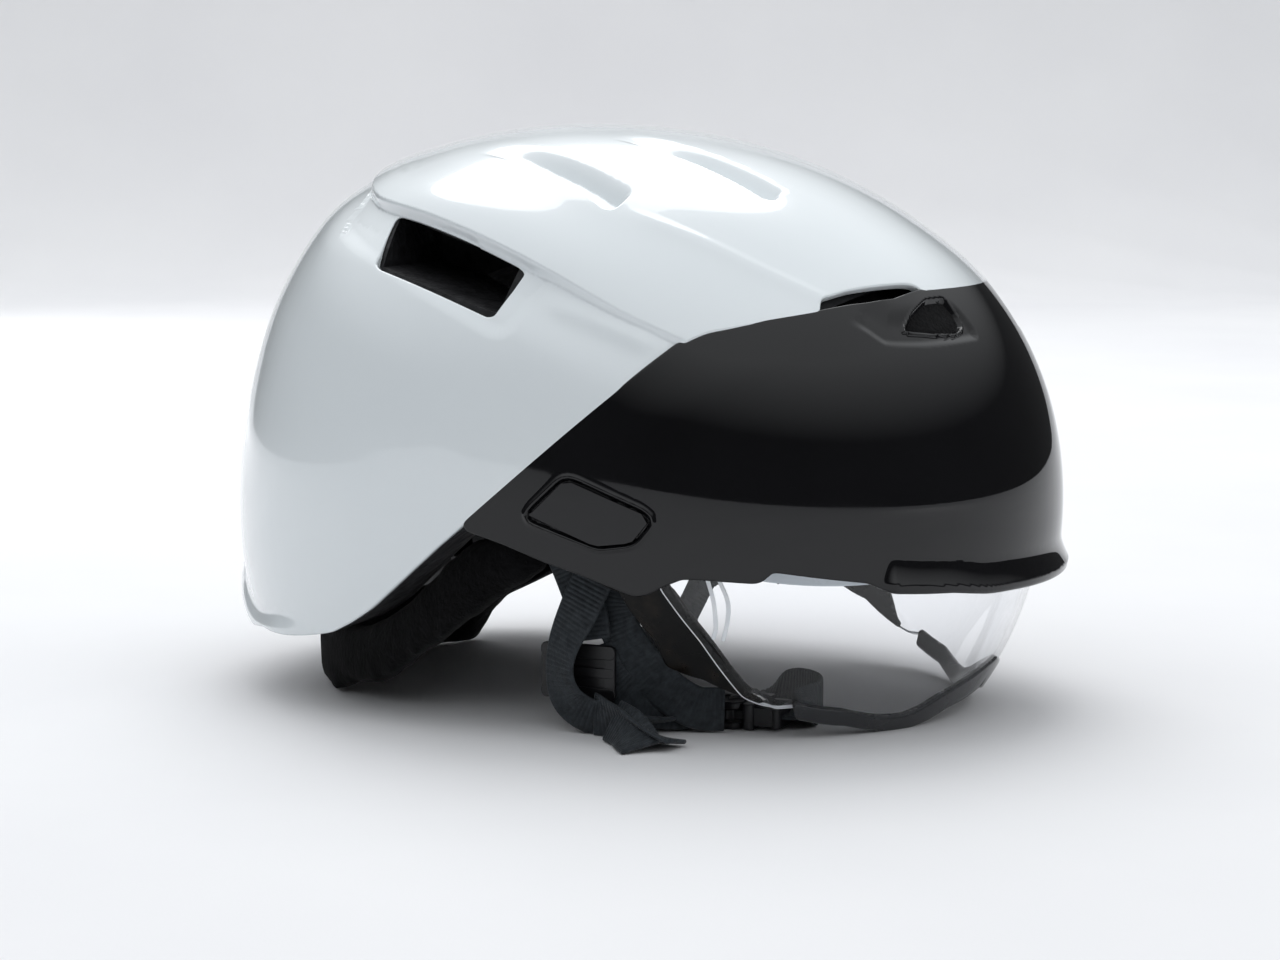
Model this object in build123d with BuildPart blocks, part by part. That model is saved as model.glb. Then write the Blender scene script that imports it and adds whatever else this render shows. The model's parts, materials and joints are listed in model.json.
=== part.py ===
from build123d import *
import math
import os

os.makedirs("parts", exist_ok=True)

# ---------------------------------------------------------------------------
# Cycling helmet with a swing-up visor.  +X is the front, +Y the wearer's left,
# +Z up, z = 0 is the table that the helmet stands on.  Millimetres.
# ---------------------------------------------------------------------------

# Outer dome: a rounded body about one centre
DOME_X = -2.2
DOME_Z = 73.5
HALF_WIDTH = 105.0
FULLNESS = 0.06
# side profile: radius in the plane of symmetry at angles from the front, upwards
SIDE_PROFILE = [
    (0, 146.6), (15, 143.7), (30, 137.6), (45, 128.9), (60, 122.8), (75, 119.5),
    (90, 119.5), (105, 123.5), (120, 131.1), (135, 139.2), (150, 140.3), (165, 139.7),
    (180, 141.2), (200, 145.5), (240, 150.0), (300, 148.0), (340, 147.5),
]
DOME_REACH = 128.0            # how far the skin is drawn, in degrees from the top
DOME_GRID = 32                # spans of the skin each way

# Walls
SHELL_T = 3.0                 # both outer shells
LINER_GAP = 0.2               # shell to liner
SEAM = 0.3                    # gap between the two shells
LIP_OUT = 3.6                 # flare of the rear and brow lips
REAR_LIP_H = 4.5
BROW_LIP_H = 6.0

# Visor: everything on it is turned about the pivot axis
PIVOT_X = 27.0                # from the dome centre
PIVOT_Z = -3.0
LENS_R = 113.6                # outer radius in the plane of symmetry
LENS_B = 97.0                 # outer half width
LENS_T = 2.2
ARM_T = 2.4
POCKET_GAP = 1.0              # lens arms to liner
PIN_R = 3.0
PIN_PLAY = 0.05
TRIM_OUT = 0.7
TRIM_IN = 0.7
TRIM_H = 4.3

# Head cavity
HEAD_X = -2.0
HEAD_Z = -15.0
HEAD_A = 108.0
HEAD_B = 80.0
HEAD_C = 105.0
PAD_T = 6.0
PAD_GAP = 0.15

# Fit system
BAND_A = 98.5
BAND_B = 73.5
BAND_T = 1.5
MODULE = 1.0
PINION_TEETH = 12
DIAL_Z = 43.0                 # height above the table
DIAL_R = 12.0
CRADLE_X = -97.0
CRADLE_HALF = 33.0
TOOTH_SLACK = 0.18            # taken off each flank

# Webbing
WEB_W = 14.0
WEB_T = 1.6
REAR_STRAP_Y = 83.4          # upright
FRONT_STRAP_Y = 81.4         # at its top
FRONT_STRAP_LEAN = 16.5      # degrees inwards going down

# Side-release buckle, flat on the table
BUCKLE_Y = -47.0
BUCKLE_W = 22.0
BUCKLE_H = 9.0
SOCKET_X0 = 39.0
SOCKET_X1 = 58.0
PLUG_X1 = 71.0

SIDE = Plane(origin=(DOME_X, 0, DOME_Z), x_dir=(1, 0, 0), z_dir=(0, -1, 0))
PIVOT = (DOME_X + PIVOT_X, 0, DOME_Z + PIVOT_Z)
WIDE = 130.0                  # half width of every side-view cut
FAR = 170.0


def save(builder, name):
    """Label a finished piece and write it."""
    builder.part.label = name
    export_step(builder.part, f"parts/{name}.step")


def side_radius(angle):
    """Smooth closed curve through the side profile (angle in degrees)."""
    knots = SIDE_PROFILE
    count = len(knots)
    angle = angle % 360
    i = max(k for k in range(count) if knots[k][0] <= angle)

    def knot(k):
        turn, k = divmod(k, count)
        return knots[k][0] + 360 * turn, knots[k][1]

    (a0, r0), (a1, r1), (a2, r2), (a3, r3) = (knot(i + d) for d in (-1, 0, 1, 2))
    m1 = (r2 - r0) / (a2 - a0) * (a2 - a1)
    m2 = (r3 - r1) / (a3 - a1) * (a2 - a1)
    t = (angle - a1) / (a2 - a1)
    return (
        r1 * (2 * t**3 - 3 * t**2 + 1)
        + m1 * (t**3 - 2 * t**2 + t)
        + r2 * (3 * t**2 - 2 * t**3)
        + m2 * (t**3 - t**2)
    )


def skin_point(dx, dy, dz, inset):
    """Point of the skin in the direction (dx, dy, dz) from the dome centre."""
    lat = math.asin(max(-1.0, min(1.0, dy)))
    radius = side_radius(math.degrees(math.atan2(dz, dx)))
    rho = 1 / math.hypot(math.cos(lat) / radius, math.sin(lat) / HALF_WIDTH)
    rho = rho * (1 + FULLNESS * math.sin(2 * lat) ** 2) - inset
    return (DOME_X + rho * dx, rho * dy, DOME_Z + rho * dz)


def skin_face(inset):
    """The dome's skin, moved inwards by inset."""
    rows = []
    for i in range(DOME_GRID + 1):
        u = -1 + 2 * i / DOME_GRID
        row = []
        for j in range(DOME_GRID + 1):
            v = -1 + 2 * j / DOME_GRID
            x = u * math.sqrt(1 - v * v / 2)
            y = v * math.sqrt(1 - u * u / 2)
            r = math.hypot(x, y)
            polar = math.radians(DOME_REACH) * r
            s = math.sin(polar) / r if r > 1e-9 else 0.0
            row.append(skin_point(s * x, s * y, math.cos(polar), inset))
        rows.append(row)
    return Face.make_surface_from_array_of_points(rows, tol=0.02)


def dome(inset):
    """Solid dome under the skin, cut level near its bottom."""
    with BuildPart(mode=Mode.PRIVATE) as solid:
        with Locations((0, 0, DOME_Z - 58)):
            Box(420, 300, 300, align=(Align.CENTER, Align.CENTER, Align.MIN))
        split(bisect_by=skin_face(inset), keep=Keep.BOTTOM)
    return solid.part


def prism(*outline, y0=-WIDE, y1=WIDE):
    """Side-view outline, drawn from the dome centre, pulled from y0 to y1."""
    with BuildPart(mode=Mode.PRIVATE) as solid:
        with BuildSketch(SIDE.offset(-y0)):
            with BuildLine():
                Polyline(*outline, close=True)
            make_face()
        extrude(amount=y0 - y1)
    return solid.part


def turned(radius, half, inset=0.0):
    """Body of revolution about the pivot axis: the visor's family of surfaces."""
    with BuildPart(mode=Mode.PRIVATE) as solid:
        with BuildSketch(Plane(origin=PIVOT, x_dir=(1, 0, 0), z_dir=(0, 0, 1))):
            Ellipse(radius - inset, half - inset)
            with Locations((-200, 0)):
                Rectangle(400, 400, mode=Mode.SUBTRACT)
        revolve(axis=Axis(PIVOT, (0, 1, 0)), revolution_arc=360)
    return solid.part


def ellipsoid(inset):
    """The head cavity, or a pad face inside it."""
    body = scale(Sphere(1.0), by=(HEAD_A - inset, HEAD_B - inset, HEAD_C - inset))
    return Pos(DOME_X + HEAD_X, 0, DOME_Z + HEAD_Z) * body


def disc(radius, y0, y1):
    """Disc on the pivot axis, from y0 to y1."""
    plane = Plane(origin=(PIVOT[0], y0, PIVOT[2]), x_dir=(1, 0, 0), z_dir=(0, 1, 0))
    with BuildPart(mode=Mode.PRIVATE) as solid:
        with BuildSketch(plane):
            Circle(radius)
        extrude(amount=y1 - y0)
    return solid.part


SIDES = {"left": 1, "right": -1}
skin = {inset: dome(inset) for inset in (-LIP_OUT, 0.0, SHELL_T, SHELL_T + LINER_GAP)}

# ---------------------------------------------------------------------------
# Side-view outlines, from the dome centre
# ---------------------------------------------------------------------------
SEAM_LINE = [(-13, -3), (53, 53), (60, 56.8), (76, 60), (135, 70.5)]
REAR_EDGE = [(-24, -12), (-39, -25), (-51, -35), (-60, -40.5), (-69, -45), (-79, -47.3),
             (-91, -48.6), (-104, -48.1), (-119, -46.4), (-FAR, -46.4)]
FRONT_EDGE = [(150, -24.5), (139, -23.6), (129, -22), (115, -20.7), (110, -17.5), (86, -13.5),
              (83.4, -13.5), (80, -17), (63, -16), (57, -16), (50.6, -18.7), (46, -21.4),
              (42.6, -22.2), (25, -16.2), (13, -13), (-1, -8.3)]
SIDE_VENT = [(-56.5, 91), (-4, 77), (-8.5, 61.5), (-55.5, 74.5)]
FRONT_VENT = [(88, 60), (89.5, 67), (96, 69), (103, 70), (108, 70.4), (111, 69.5), (114, 66)]
FRONT_VENT_Y = (34, 70)
ARCH = [(-64, 24), (-42, 32), (-21, 43), (0, 48), (21, 43), (42, 32), (64, 24)]


def lifted(points, dz):
    return [(x, z + dz) for x, z in points]


def rear_arch(dz):
    """Raised middle of the rear edge, seen from behind."""
    with BuildPart(mode=Mode.PRIVATE) as solid:
        with BuildSketch(Plane.YZ.offset(-FAR)):
            with BuildLine():
                Spline(*[(y, z + dz) for y, z in ARCH])
                Polyline((64, 24 + dz), (64, -60), (-64, -60), (-64, 24 + dz))
            make_face()
        extrude(amount=FAR - 90)
    return solid.part


def white_zone(dz):
    outline = SEAM_LINE + [(135, FAR), (-FAR, FAR)] + lifted(REAR_EDGE, dz)[::-1]
    return prism(*outline) - rear_arch(dz)


def black_zone(dz):
    seam = [(x + SEAM / 2, z - SEAM / 2) for x, z in SEAM_LINE]
    return prism(*(seam + [(FAR, 72)] + lifted([(FAR, -24.5)] + FRONT_EDGE, dz)))


def both_sides(y0, y1, *outline):
    return prism(*outline, y0=y0, y1=y1) + prism(*outline, y0=-y1, y1=-y0)


# ---------------------------------------------------------------------------
# White outer shell: crown, sides and back in one moulding
# ---------------------------------------------------------------------------
white_area = white_zone(0)
side_vents = both_sides(38, WIDE, *SIDE_VENT)
front_vents = both_sides(FRONT_VENT_Y[0], FRONT_VENT_Y[1], *FRONT_VENT)

# four blind grooves in the crown, two a side
CROWN_SLOTS = [((-37, 43), (22, 69)), ((6, 30), (66, 42))]
SLOT_W = 7.0
SLOT_DEPTH = 1.6


def groove_bars(width):
    """Upright bars through the dome where the crown grooves lie."""
    with BuildPart(mode=Mode.PRIVATE) as bars:
        with BuildSketch(Plane(origin=(DOME_X, 0, DOME_Z))):
            for start, end in CROWN_SLOTS:
                for sign in (1, -1):
                    a = Vector(start[0], sign * start[1])
                    b = Vector(end[0], sign * end[1])
                    turn = math.degrees(math.atan2(b.Y - a.Y, b.X - a.X))
                    with Locations((a + b) / 2):
                        SlotOverall((b - a).length + width - SLOT_W, width, rotation=turn)
        extrude(amount=FAR)
    return bars.part


crown_slots = groove_bars(SLOT_W) & (skin[-LIP_OUT] - dome(SLOT_DEPTH))

rear_band = white_area - white_zone(REAR_LIP_H)
lip_reach = prism((-FAR, -60), (-84, -60), (-96, 0), (-FAR, 0))
with BuildPart() as outer_shell:
    add(skin[0.0] - skin[SHELL_T])
    add(white_area, mode=Mode.INTERSECT)
    add((skin[-LIP_OUT] - skin[SHELL_T]) & rear_band & lip_reach)
    add(side_vents, mode=Mode.SUBTRACT)
    add(front_vents, mode=Mode.SUBTRACT)
    add(crown_slots, mode=Mode.SUBTRACT)
save(outer_shell, "outer_shell")

# ---------------------------------------------------------------------------
# Black front shell with its brow lip, pivot bosses and cap recesses
# ---------------------------------------------------------------------------
CAP = [(7.5, 0), (18.5, 10.8), (22, 11.3), (45.5, 2.4), (47.3, -0.6), (42.5, -6.6),
       (40, -7.4), (31, -8.6), (28, -8)]
CAP_FLOOR = 103.4
BOSS_R = 9.0
BOSS_Y = 96.0
HEAD_SEAT_Y = 101.2
PIN_HEAD_R = 5.0
black_area = black_zone(0)
brow_band = black_area - black_zone(BROW_LIP_H)
brow_reach = prism((111, -40), (FAR, -40), (FAR, 0), (114, 0))
# scoop high on each brow
SCOOP = [(106, 55.5), (111, 53.2), (127, 52.8), (124, 58), (119, 66), (112, 62)]
scoops = both_sides(26, 62, *SCOOP) & (skin[-LIP_OUT] - dome(1.8))
with BuildPart() as front_shell:
    add(skin[0.0] - skin[SHELL_T])
    add(black_area, mode=Mode.INTERSECT)
    add((skin[-LIP_OUT] - skin[SHELL_T]) & brow_band & brow_reach)
    for sign in SIDES.values():
        add(disc(BOSS_R, sign * BOSS_Y, sign * 103))
        add(disc(PIN_R + PIN_PLAY, sign * 90, sign * FAR), mode=Mode.SUBTRACT)
        add(disc(PIN_HEAD_R + 0.1, sign * HEAD_SEAT_Y, sign * FAR), mode=Mode.SUBTRACT)
    add(both_sides(CAP_FLOOR, WIDE, *CAP), mode=Mode.SUBTRACT)
    add(scoops, mode=Mode.SUBTRACT)
save(front_shell, "front_shell")

# caps over the pivots
cap_skin = dome(-0.8)
for side, sign in SIDES.items():
    lo, hi = sorted((sign * (CAP_FLOOR + 0.1), sign * WIDE))
    shrunk = [(27 + (x - 27) * 0.98, 1.3 + (z - 1.3) * 0.97) for x, z in CAP]
    with BuildPart() as cap:
        add(prism(*shrunk, y0=lo, y1=hi))
        add(cap_skin, mode=Mode.INTERSECT)
    save(cap, f"pivot_cap_{side}")

# ---------------------------------------------------------------------------
# Visor: lens, edge trim, arms, finger ridges
# ---------------------------------------------------------------------------
lens_top = 3.0
LENS_EDGE = [(129.5, -55.2), (127, -57.4), (123, -60.7), (118, -64.1), (113.3, -67.4),
             (109, -69.2), (104, -68.8), (95, -65.2), (83, -61.9)]
LENS_REAR = [(77.4, -62.4), (73, -61.3), (68.5, -58.8), (63.4, -49.2), (58.4, -39.5), (53, -31.5),
             (47.3, -22.6), (45, -12), (47, -2), (54, lens_top)]
lens_area = prism(*([(FAR, lens_top), (FAR, -55.2)] + LENS_EDGE + LENS_REAR))
lens_outer = turned(LENS_R, LENS_B)
lens_inner = turned(LENS_R, LENS_B, LENS_T)
with BuildPart() as visor_lens:
    add(lens_outer - lens_inner)
    add(lens_area, mode=Mode.INTERSECT)
save(visor_lens, "visor_lens")

trim_area = prism(*([(FAR, -55.2)] + LENS_EDGE + [(82.3, -61.9 - TRIM_H)]
                    + lifted(LENS_EDGE, -TRIM_H)[::-1] + [(FAR, -55.2 - TRIM_H)]))
with BuildPart() as visor_trim:
    add(turned(LENS_R, LENS_B, -TRIM_OUT) - turned(LENS_R, LENS_B, LENS_T + TRIM_IN))
    add(trim_area, mode=Mode.INTERSECT)
save(visor_trim, "visor_edge_trim")

ARM = [(17, 4), (24, 10), (33, 9), (44, 0), (52, -12), (57, -28), (63, -38), (68, -48), (72.5, -57.5),
       (75, -61), (69, -59.5), (57, -52.5), (47.5, -48.4), (47.5, -39), (38, -24), (24, -14), (15, -8)]
arm_outer = turned(LENS_R, LENS_B, LENS_T)
arm_inner = turned(LENS_R, LENS_B, LENS_T + ARM_T)
for side, sign in SIDES.items():
    lo, hi = sorted((sign * 10, sign * WIDE))
    with BuildPart() as arm:
        add(arm_outer - arm_inner)
        add(prism(*ARM, y0=lo, y1=hi), mode=Mode.INTERSECT)
        add(disc(PIN_R + PIN_PLAY, sign * 60, sign * WIDE), mode=Mode.SUBTRACT)
    save(arm, f"visor_arm_{side}")

RIDGE = [(85, -18.2), (108, -21.2), (108, -23.6), (85, -20.6)]
ridge_skin = turned(LENS_R, LENS_B, -1.3)
for side, sign in SIDES.items():
    lo, hi = sorted((sign * 10, sign * WIDE))
    with BuildPart() as ridge:
        add(ridge_skin - lens_outer)
        add(prism(*RIDGE, y0=lo, y1=hi), mode=Mode.INTERSECT)
    save(ridge, f"visor_ridge_{side}")

# shoulder screws and the bushes that hold them in the liner
PIN_END_Y = 86.2
BUSH_R = 6.0
BUSH_Y = (85.4, 90.6)
for side, sign in SIDES.items():
    with BuildPart() as pin:
        add(disc(PIN_R, sign * PIN_END_Y, sign * HEAD_SEAT_Y))
        add(disc(PIN_HEAD_R, sign * HEAD_SEAT_Y, sign * (CAP_FLOOR - 0.2)))
        with BuildSketch(Plane(origin=(PIVOT[0], sign * (CAP_FLOOR - 0.2), PIVOT[2]), z_dir=(0, sign, 0))):
            RegularPolygon(2.0, 6)
        extrude(amount=-1.4, mode=Mode.SUBTRACT)
    save(pin, f"pivot_pin_{side}")
    with BuildPart() as bush:
        add(disc(BUSH_R, sign * BUSH_Y[0], sign * BUSH_Y[1]))
        add(disc(PIN_R, sign * 60, sign * WIDE), mode=Mode.SUBTRACT)
    save(bush, f"pivot_bush_{side}")

# ---------------------------------------------------------------------------
# Foam liner
# ---------------------------------------------------------------------------
POCKET = [(-2, -90), (-2, 16), (20, 26), (104, 71), (FAR, 71), (FAR, -90)]
LINER_AREA = [(-13, -4), (-2, -5), (70, -6), (100, -10), (FAR, -12), (FAR, FAR), (-FAR, FAR)]
ANCHOR = (30.0, 4.0, 8.0)
ANCHOR_AT = (25.0, 82.6, 66.4)
anchor_hole = [side + 0.2 for side in ANCHOR]
SLOT_ROOM = 2.5                # liner cut back on each side of the crown grooves
SLOT_FLOOR = 5.2               # and below the skin
RACK_ROOM = (24.0, 144.0, 18.0)
cavity = ellipsoid(0)
slot_room = groove_bars(SLOT_W + 2 * SLOT_ROOM) & (skin[0.0] - dome(SLOT_FLOOR))
with BuildPart() as liner:
    add(skin[SHELL_T + LINER_GAP])
    add(prism(*(LINER_AREA + lifted(REAR_EDGE, 0.6)[::-1])) - rear_arch(0.6), mode=Mode.INTERSECT)
    add(prism(*POCKET) - turned(LENS_R, LENS_B, LENS_T + ARM_T + POCKET_GAP), mode=Mode.SUBTRACT)
    add(cavity, mode=Mode.SUBTRACT)
    add(side_vents, mode=Mode.SUBTRACT)
    for sign in SIDES.values():
        add(disc(BUSH_R, sign * BUSH_Y[0], sign * 120), mode=Mode.SUBTRACT)
        with Locations((ANCHOR_AT[0], sign * ANCHOR_AT[1], ANCHOR_AT[2])):
            Box(*anchor_hole, mode=Mode.SUBTRACT)
    add(slot_room, mode=Mode.SUBTRACT)
    with Locations((CRADLE_X + RACK_ROOM[0] / 2 - 1, 0, DIAL_Z)):
        Box(*RACK_ROOM, mode=Mode.SUBTRACT)
save(liner, "foam_liner")

with BuildPart() as anchors:
    for sign in SIDES.values():
        with Locations((ANCHOR_AT[0], sign * ANCHOR_AT[1], ANCHOR_AT[2])):
            Box(*ANCHOR)
save(anchors, "strap_anchors")

# ---------------------------------------------------------------------------
# Comfort pads
# ---------------------------------------------------------------------------
pad_wall = ellipsoid(PAD_GAP) - ellipsoid(PAD_T)
with BuildPart() as brow_pad:
    add(pad_wall)
    add(prism((58, 16), (FAR, 16), (FAR, 40), (58, 40)), mode=Mode.INTERSECT)
save(brow_pad, "brow_pad")
with BuildPart() as crown_pad:
    add(pad_wall)
    add(prism((-60, 50), (46, 50), (46, 120), (-60, 120), y0=-13, y1=13), mode=Mode.INTERSECT)
save(crown_pad, "crown_pad")
for side, sign in SIDES.items():
    lo, hi = sorted((sign * 30, sign * WIDE))
    with BuildPart() as side_pad:
        add(pad_wall)
        add(prism((-48, 18), (34, 18), (34, 40), (-48, 40), y0=lo, y1=hi), mode=Mode.INTERSECT)
    save(side_pad, f"side_pad_{side}")

# neck roll: a thick soft wall round the back, resting on the table
NECK_BOTTOM = [(-FAR, 0), (-88, 0), (-84, 1.5), (-80, 4), (-62, 8), (-51, 14.5), (-48, 18), (-36, 24),
               (-30, 29.5), (-13, 41.5), (2, 54)]
NECK_TOP = [(2, 61), (-6, 66)] + [(x, z + DOME_Z - 0.5) for x, z in REAR_EDGE[:-1]] + [(-FAR, 25.5)]
with BuildPart() as neck_pad:
    with BuildSketch(Plane(origin=(DOME_X + HEAD_X, 0, 0))):
        Ellipse(114, 88)
        Ellipse(101.5, 76.5, mode=Mode.SUBTRACT)
    extrude(amount=DOME_Z)
    add(prism(*lifted(NECK_BOTTOM + NECK_TOP, -DOME_Z)), mode=Mode.INTERSECT)
save(neck_pad, "neck_pad")

# ---------------------------------------------------------------------------
# Fit system: band arms, cradle, dial with pinion, two racks
# ---------------------------------------------------------------------------
BAND = [(78, 2), (70, 14), (-4, 12), (-40, -4), (-84, -22), (-84, -36), (-40, -17), (-4, -2)]
for side, sign in SIDES.items():
    lo, hi = sorted((sign * 4, sign * WIDE))
    with BuildPart() as band:
        with BuildSketch(Plane(origin=(DOME_X + HEAD_X, 0, 0))):
            Ellipse(BAND_A + BAND_T, BAND_B + BAND_T)
            Ellipse(BAND_A, BAND_B, mode=Mode.SUBTRACT)
        extrude(amount=FAR)
        add(prism(*BAND, y0=lo, y1=hi), mode=Mode.INTERSECT)
    save(band, f"headband_{side}")

PITCH = math.pi * MODULE
PITCH_R = MODULE * PINION_TEETH / 2
ADDENDUM = 0.7 * MODULE
RACK_TEETH = 12
RACK_T = 2.6                   # along X
RACK_H = 5.0                   # from the pitch line outwards
RACK_LEN = 52.0
RACK_OUT = 6.25                # how far its centre is off the middle
GEAR_X = CRADLE_X + 2.2
SHAFT_R = 2.5


def tooth(width_pitch, height_in, height_out):
    """Straight-sided tooth about the pitch line, pointing to +Y of its sketch."""
    lean = math.tan(math.radians(20))
    half = width_pitch / 2 - TOOTH_SLACK
    foot = half + lean * height_in
    tip = half - lean * height_out
    return [(-foot, -height_in), (foot, -height_in), (tip, height_out), (-tip, height_out)]


with BuildPart() as pinion:
    with BuildSketch(Plane(origin=(GEAR_X, 0, DIAL_Z), x_dir=(0, 1, 0), z_dir=(1, 0, 0))):
        Circle(PITCH_R - 1.1 * MODULE)
        with PolarLocations(PITCH_R, PINION_TEETH, start_angle=90, rotate=True):
            Polygon(*[(h, w) for w, h in tooth(PITCH / 2, 1.3 * MODULE, ADDENDUM)], align=None)
    extrude(amount=RACK_T)
    with BuildSketch(Plane(origin=(GEAR_X, 0, DIAL_Z), z_dir=(-1, 0, 0))):
        Circle(SHAFT_R)
    extrude(amount=6)
save(pinion, "dial_pinion")

for side, sign in SIDES.items():
    # the left rack runs above the pinion and the right one below it
    base = Plane(origin=(GEAR_X, 0, DIAL_Z), x_dir=(0, sign, 0), z_dir=(1, 0, 0))
    with BuildPart() as rack:
        with BuildSketch(base):
            with Locations((RACK_OUT, PITCH_R + 0.9 * MODULE + RACK_H / 2)):
                Rectangle(RACK_LEN, RACK_H)
            for k in range(-RACK_TEETH // 2, RACK_TEETH // 2):
                with Locations(((k + 0.5) * PITCH, PITCH_R)):
                    Polygon(*[(w, -h) for w, h in tooth(PITCH / 2, MODULE, ADDENDUM)], align=None)
        extrude(amount=RACK_T)
    save(rack, f"fit_rack_{side}")

CRADLE_T = 2.0
CRADLE_H = 32.0
GUIDE_X = CRADLE_X + CRADLE_T - 0.1
with BuildPart() as cradle:
    with BuildSketch(Plane(origin=(CRADLE_X - 0.1, 0, DIAL_Z), x_dir=(0, 1, 0), z_dir=(1, 0, 0))):
        RectangleRounded(2 * CRADLE_HALF, CRADLE_H, 5)
        Circle(SHAFT_R + PIN_PLAY, mode=Mode.SUBTRACT)
    extrude(amount=CRADLE_T)
    with BuildSketch(Plane(origin=(GUIDE_X, 0, DIAL_Z), x_dir=(0, 1, 0), z_dir=(1, 0, 0))):
        for sign in (1, -1):
            with Locations((0, sign * 14.2)):
                Rectangle(50, 2.2)
    extrude(amount=RACK_T + 0.6)
save(cradle, "cradle")
with BuildPart() as cradle_cover:
    with BuildSketch(Plane(origin=(GEAR_X + RACK_T + 0.4, 0, DIAL_Z), x_dir=(0, 1, 0), z_dir=(1, 0, 0))):
        RectangleRounded(2 * CRADLE_HALF - 4, CRADLE_H - 1, 5)
    extrude(amount=1.6)
save(cradle_cover, "cradle_cover")

KNOB_X = CRADLE_X - 0.5
with BuildPart() as knob:
    with BuildSketch(Plane(origin=(KNOB_X, 0, DIAL_Z), z_dir=(-1, 0, 0))):
        Circle(DIAL_R)
        with PolarLocations(DIAL_R + 0.5, 18):
            Circle(1.2, mode=Mode.SUBTRACT)
        Circle(SHAFT_R, mode=Mode.SUBTRACT)
    extrude(amount=7)
save(knob, "fit_dial")

# ---------------------------------------------------------------------------
# Webbing
# ---------------------------------------------------------------------------
# The right straps hang to the table; the left ones are tucked up under the shell.
REAR_ROUTE = {
    "right": [(18, 60.5), (18.6, 50), (11.5, 31), (10, 16), (24, 10)],
    "left": [(18, 60.5), (17.5, 50), (11, 38)],
}
FRONT_ROUTE = {
    "right": [(33, 61.5), (36, 42), (50, 20), (61, 11)],
    "left": [(33, 60.4), (34.5, 50), (34, 38)],
}


def webbing(route, sign, y, lean=0.0):
    """Band of webbing in a plane that is upright or leans inwards below its top."""
    top = route[0][1]
    tilt = math.radians(lean)
    normal = Vector(0, -math.cos(tilt), math.sin(tilt) * sign)
    plane = Plane(origin=Vector(0, sign * y, top) - normal * WEB_T / 2, x_dir=(1, 0, 0), z_dir=normal)
    route = [(x, (z - top) / math.cos(tilt)) for x, z in route]
    with BuildPart() as solid:
        with BuildSketch(plane):
            with BuildLine():
                Spline(*route)
            trace(line_width=WEB_W)
        extrude(amount=WEB_T)
    return solid


for side, sign in SIDES.items():
    save(webbing(REAR_ROUTE[side], sign, REAR_STRAP_Y), f"rear_strap_{side}")
    save(webbing(FRONT_ROUTE[side], sign, FRONT_STRAP_Y, FRONT_STRAP_LEAN), f"front_strap_{side}")

# strap lock: a plate behind the rear strap and a cam lever hinged on it
LOCK_X = (-2.0, 24.0)
LOCK_Z = {"right": (11.0, 29.0), "left": (31.0, 49.0)}
LOCK_Y = 79.4
LEVER_PIN_R = 1.5
for side, sign in SIDES.items():
    mid_x = sum(LOCK_X) / 2
    low_z, high_z = LOCK_Z[side]
    mid_z = (low_z + high_z) / 2
    with BuildPart() as lock:
        with BuildSketch(Plane(origin=(mid_x, sign * LOCK_Y, mid_z), x_dir=(1, 0, 0), z_dir=(0, sign, 0))):
            RectangleRounded(LOCK_X[1] - LOCK_X[0], high_z - low_z, 3)
        extrude(amount=1.8)
        for x in (LOCK_X[0] + 2, LOCK_X[1] - 2):
            with BuildSketch(Plane(origin=(x - 1.5, sign * (LOCK_Y - 3), high_z - 4), z_dir=(1, 0, 0))):
                Rectangle(7, 6)
                Circle(LEVER_PIN_R + PIN_PLAY, mode=Mode.SUBTRACT)
            extrude(amount=3)
    save(lock, f"strap_lock_{side}")
    lever_end = (LOCK_X[0] + 0.5, sign * (LOCK_Y - 3), high_z - 4)
    with BuildPart() as lever:
        with BuildSketch(Plane(origin=lever_end, z_dir=(1, 0, 0))):
            Circle(LEVER_PIN_R)
        extrude(amount=LOCK_X[1] - LOCK_X[0] - 1)
        with Locations((mid_x, sign * (LOCK_Y - 2.9), mid_z - 1)):
            Box(LOCK_X[1] - LOCK_X[0] - 8, 2.4, 14)
    save(lever, f"lock_lever_{side}")

# lower right webbing from the strap ends to the buckle, flat on the table
LOWER_X = SOCKET_X0 - 9
with BuildPart() as lower_strap:
    with BuildSketch(Plane.XY.offset(0.2)):
        with BuildLine():
            Spline((56, -97), (44, -94), (LOWER_X, -82), (LOWER_X, -62), (LOWER_X + 1, -40))
        trace(line_width=WEB_W)
    extrude(amount=WEB_T)
save(lower_strap, "lower_strap_right")

# chin strap, standing on its edge where it loops out of the buckle
with BuildPart() as chin_strap:
    with BuildSketch(Plane.XY.offset(0.3)):
        with BuildLine():
            Spline((PLUG_X1 + 0.2, BUCKLE_Y), (79, -43), (78.5, -29), (68, -19), (57, -15))
        trace(line_width=WEB_T)
    extrude(amount=WEB_W)
save(chin_strap, "chin_strap")

# the rest of it: flat on the table, then up on its edge to the left strap lock
RISE = [(-14, 0.2), (-4, 0.4), (25, 1.5), (46, 3), (51, 10), (62, 33)]
with BuildPart() as rising:
    with BuildSketch(Plane.XY):
        with BuildLine():
            Spline((16, -13), (0, -4), (-12, 25), (-8, 48), (4, 62))
        trace(line_width=WEB_T)
    extrude(amount=60)
    with BuildSketch(Plane.YZ.offset(-40), mode=Mode.PRIVATE) as rise_face:
        with BuildLine():
            Polyline(*(RISE + lifted(RISE, WEB_W)[::-1]), close=True)
        make_face()
    extrude(rise_face.sketch, amount=80, mode=Mode.INTERSECT)
with BuildPart() as chin_rest:
    with BuildSketch(Plane.XY.offset(0.2)):
        with BuildLine():
            Spline((52, -14), (34, -16), (14, -13))
        trace(line_width=WEB_W)
    extrude(amount=WEB_T)
    add(rising.part)
save(chin_rest, "chin_strap_left")

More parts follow.
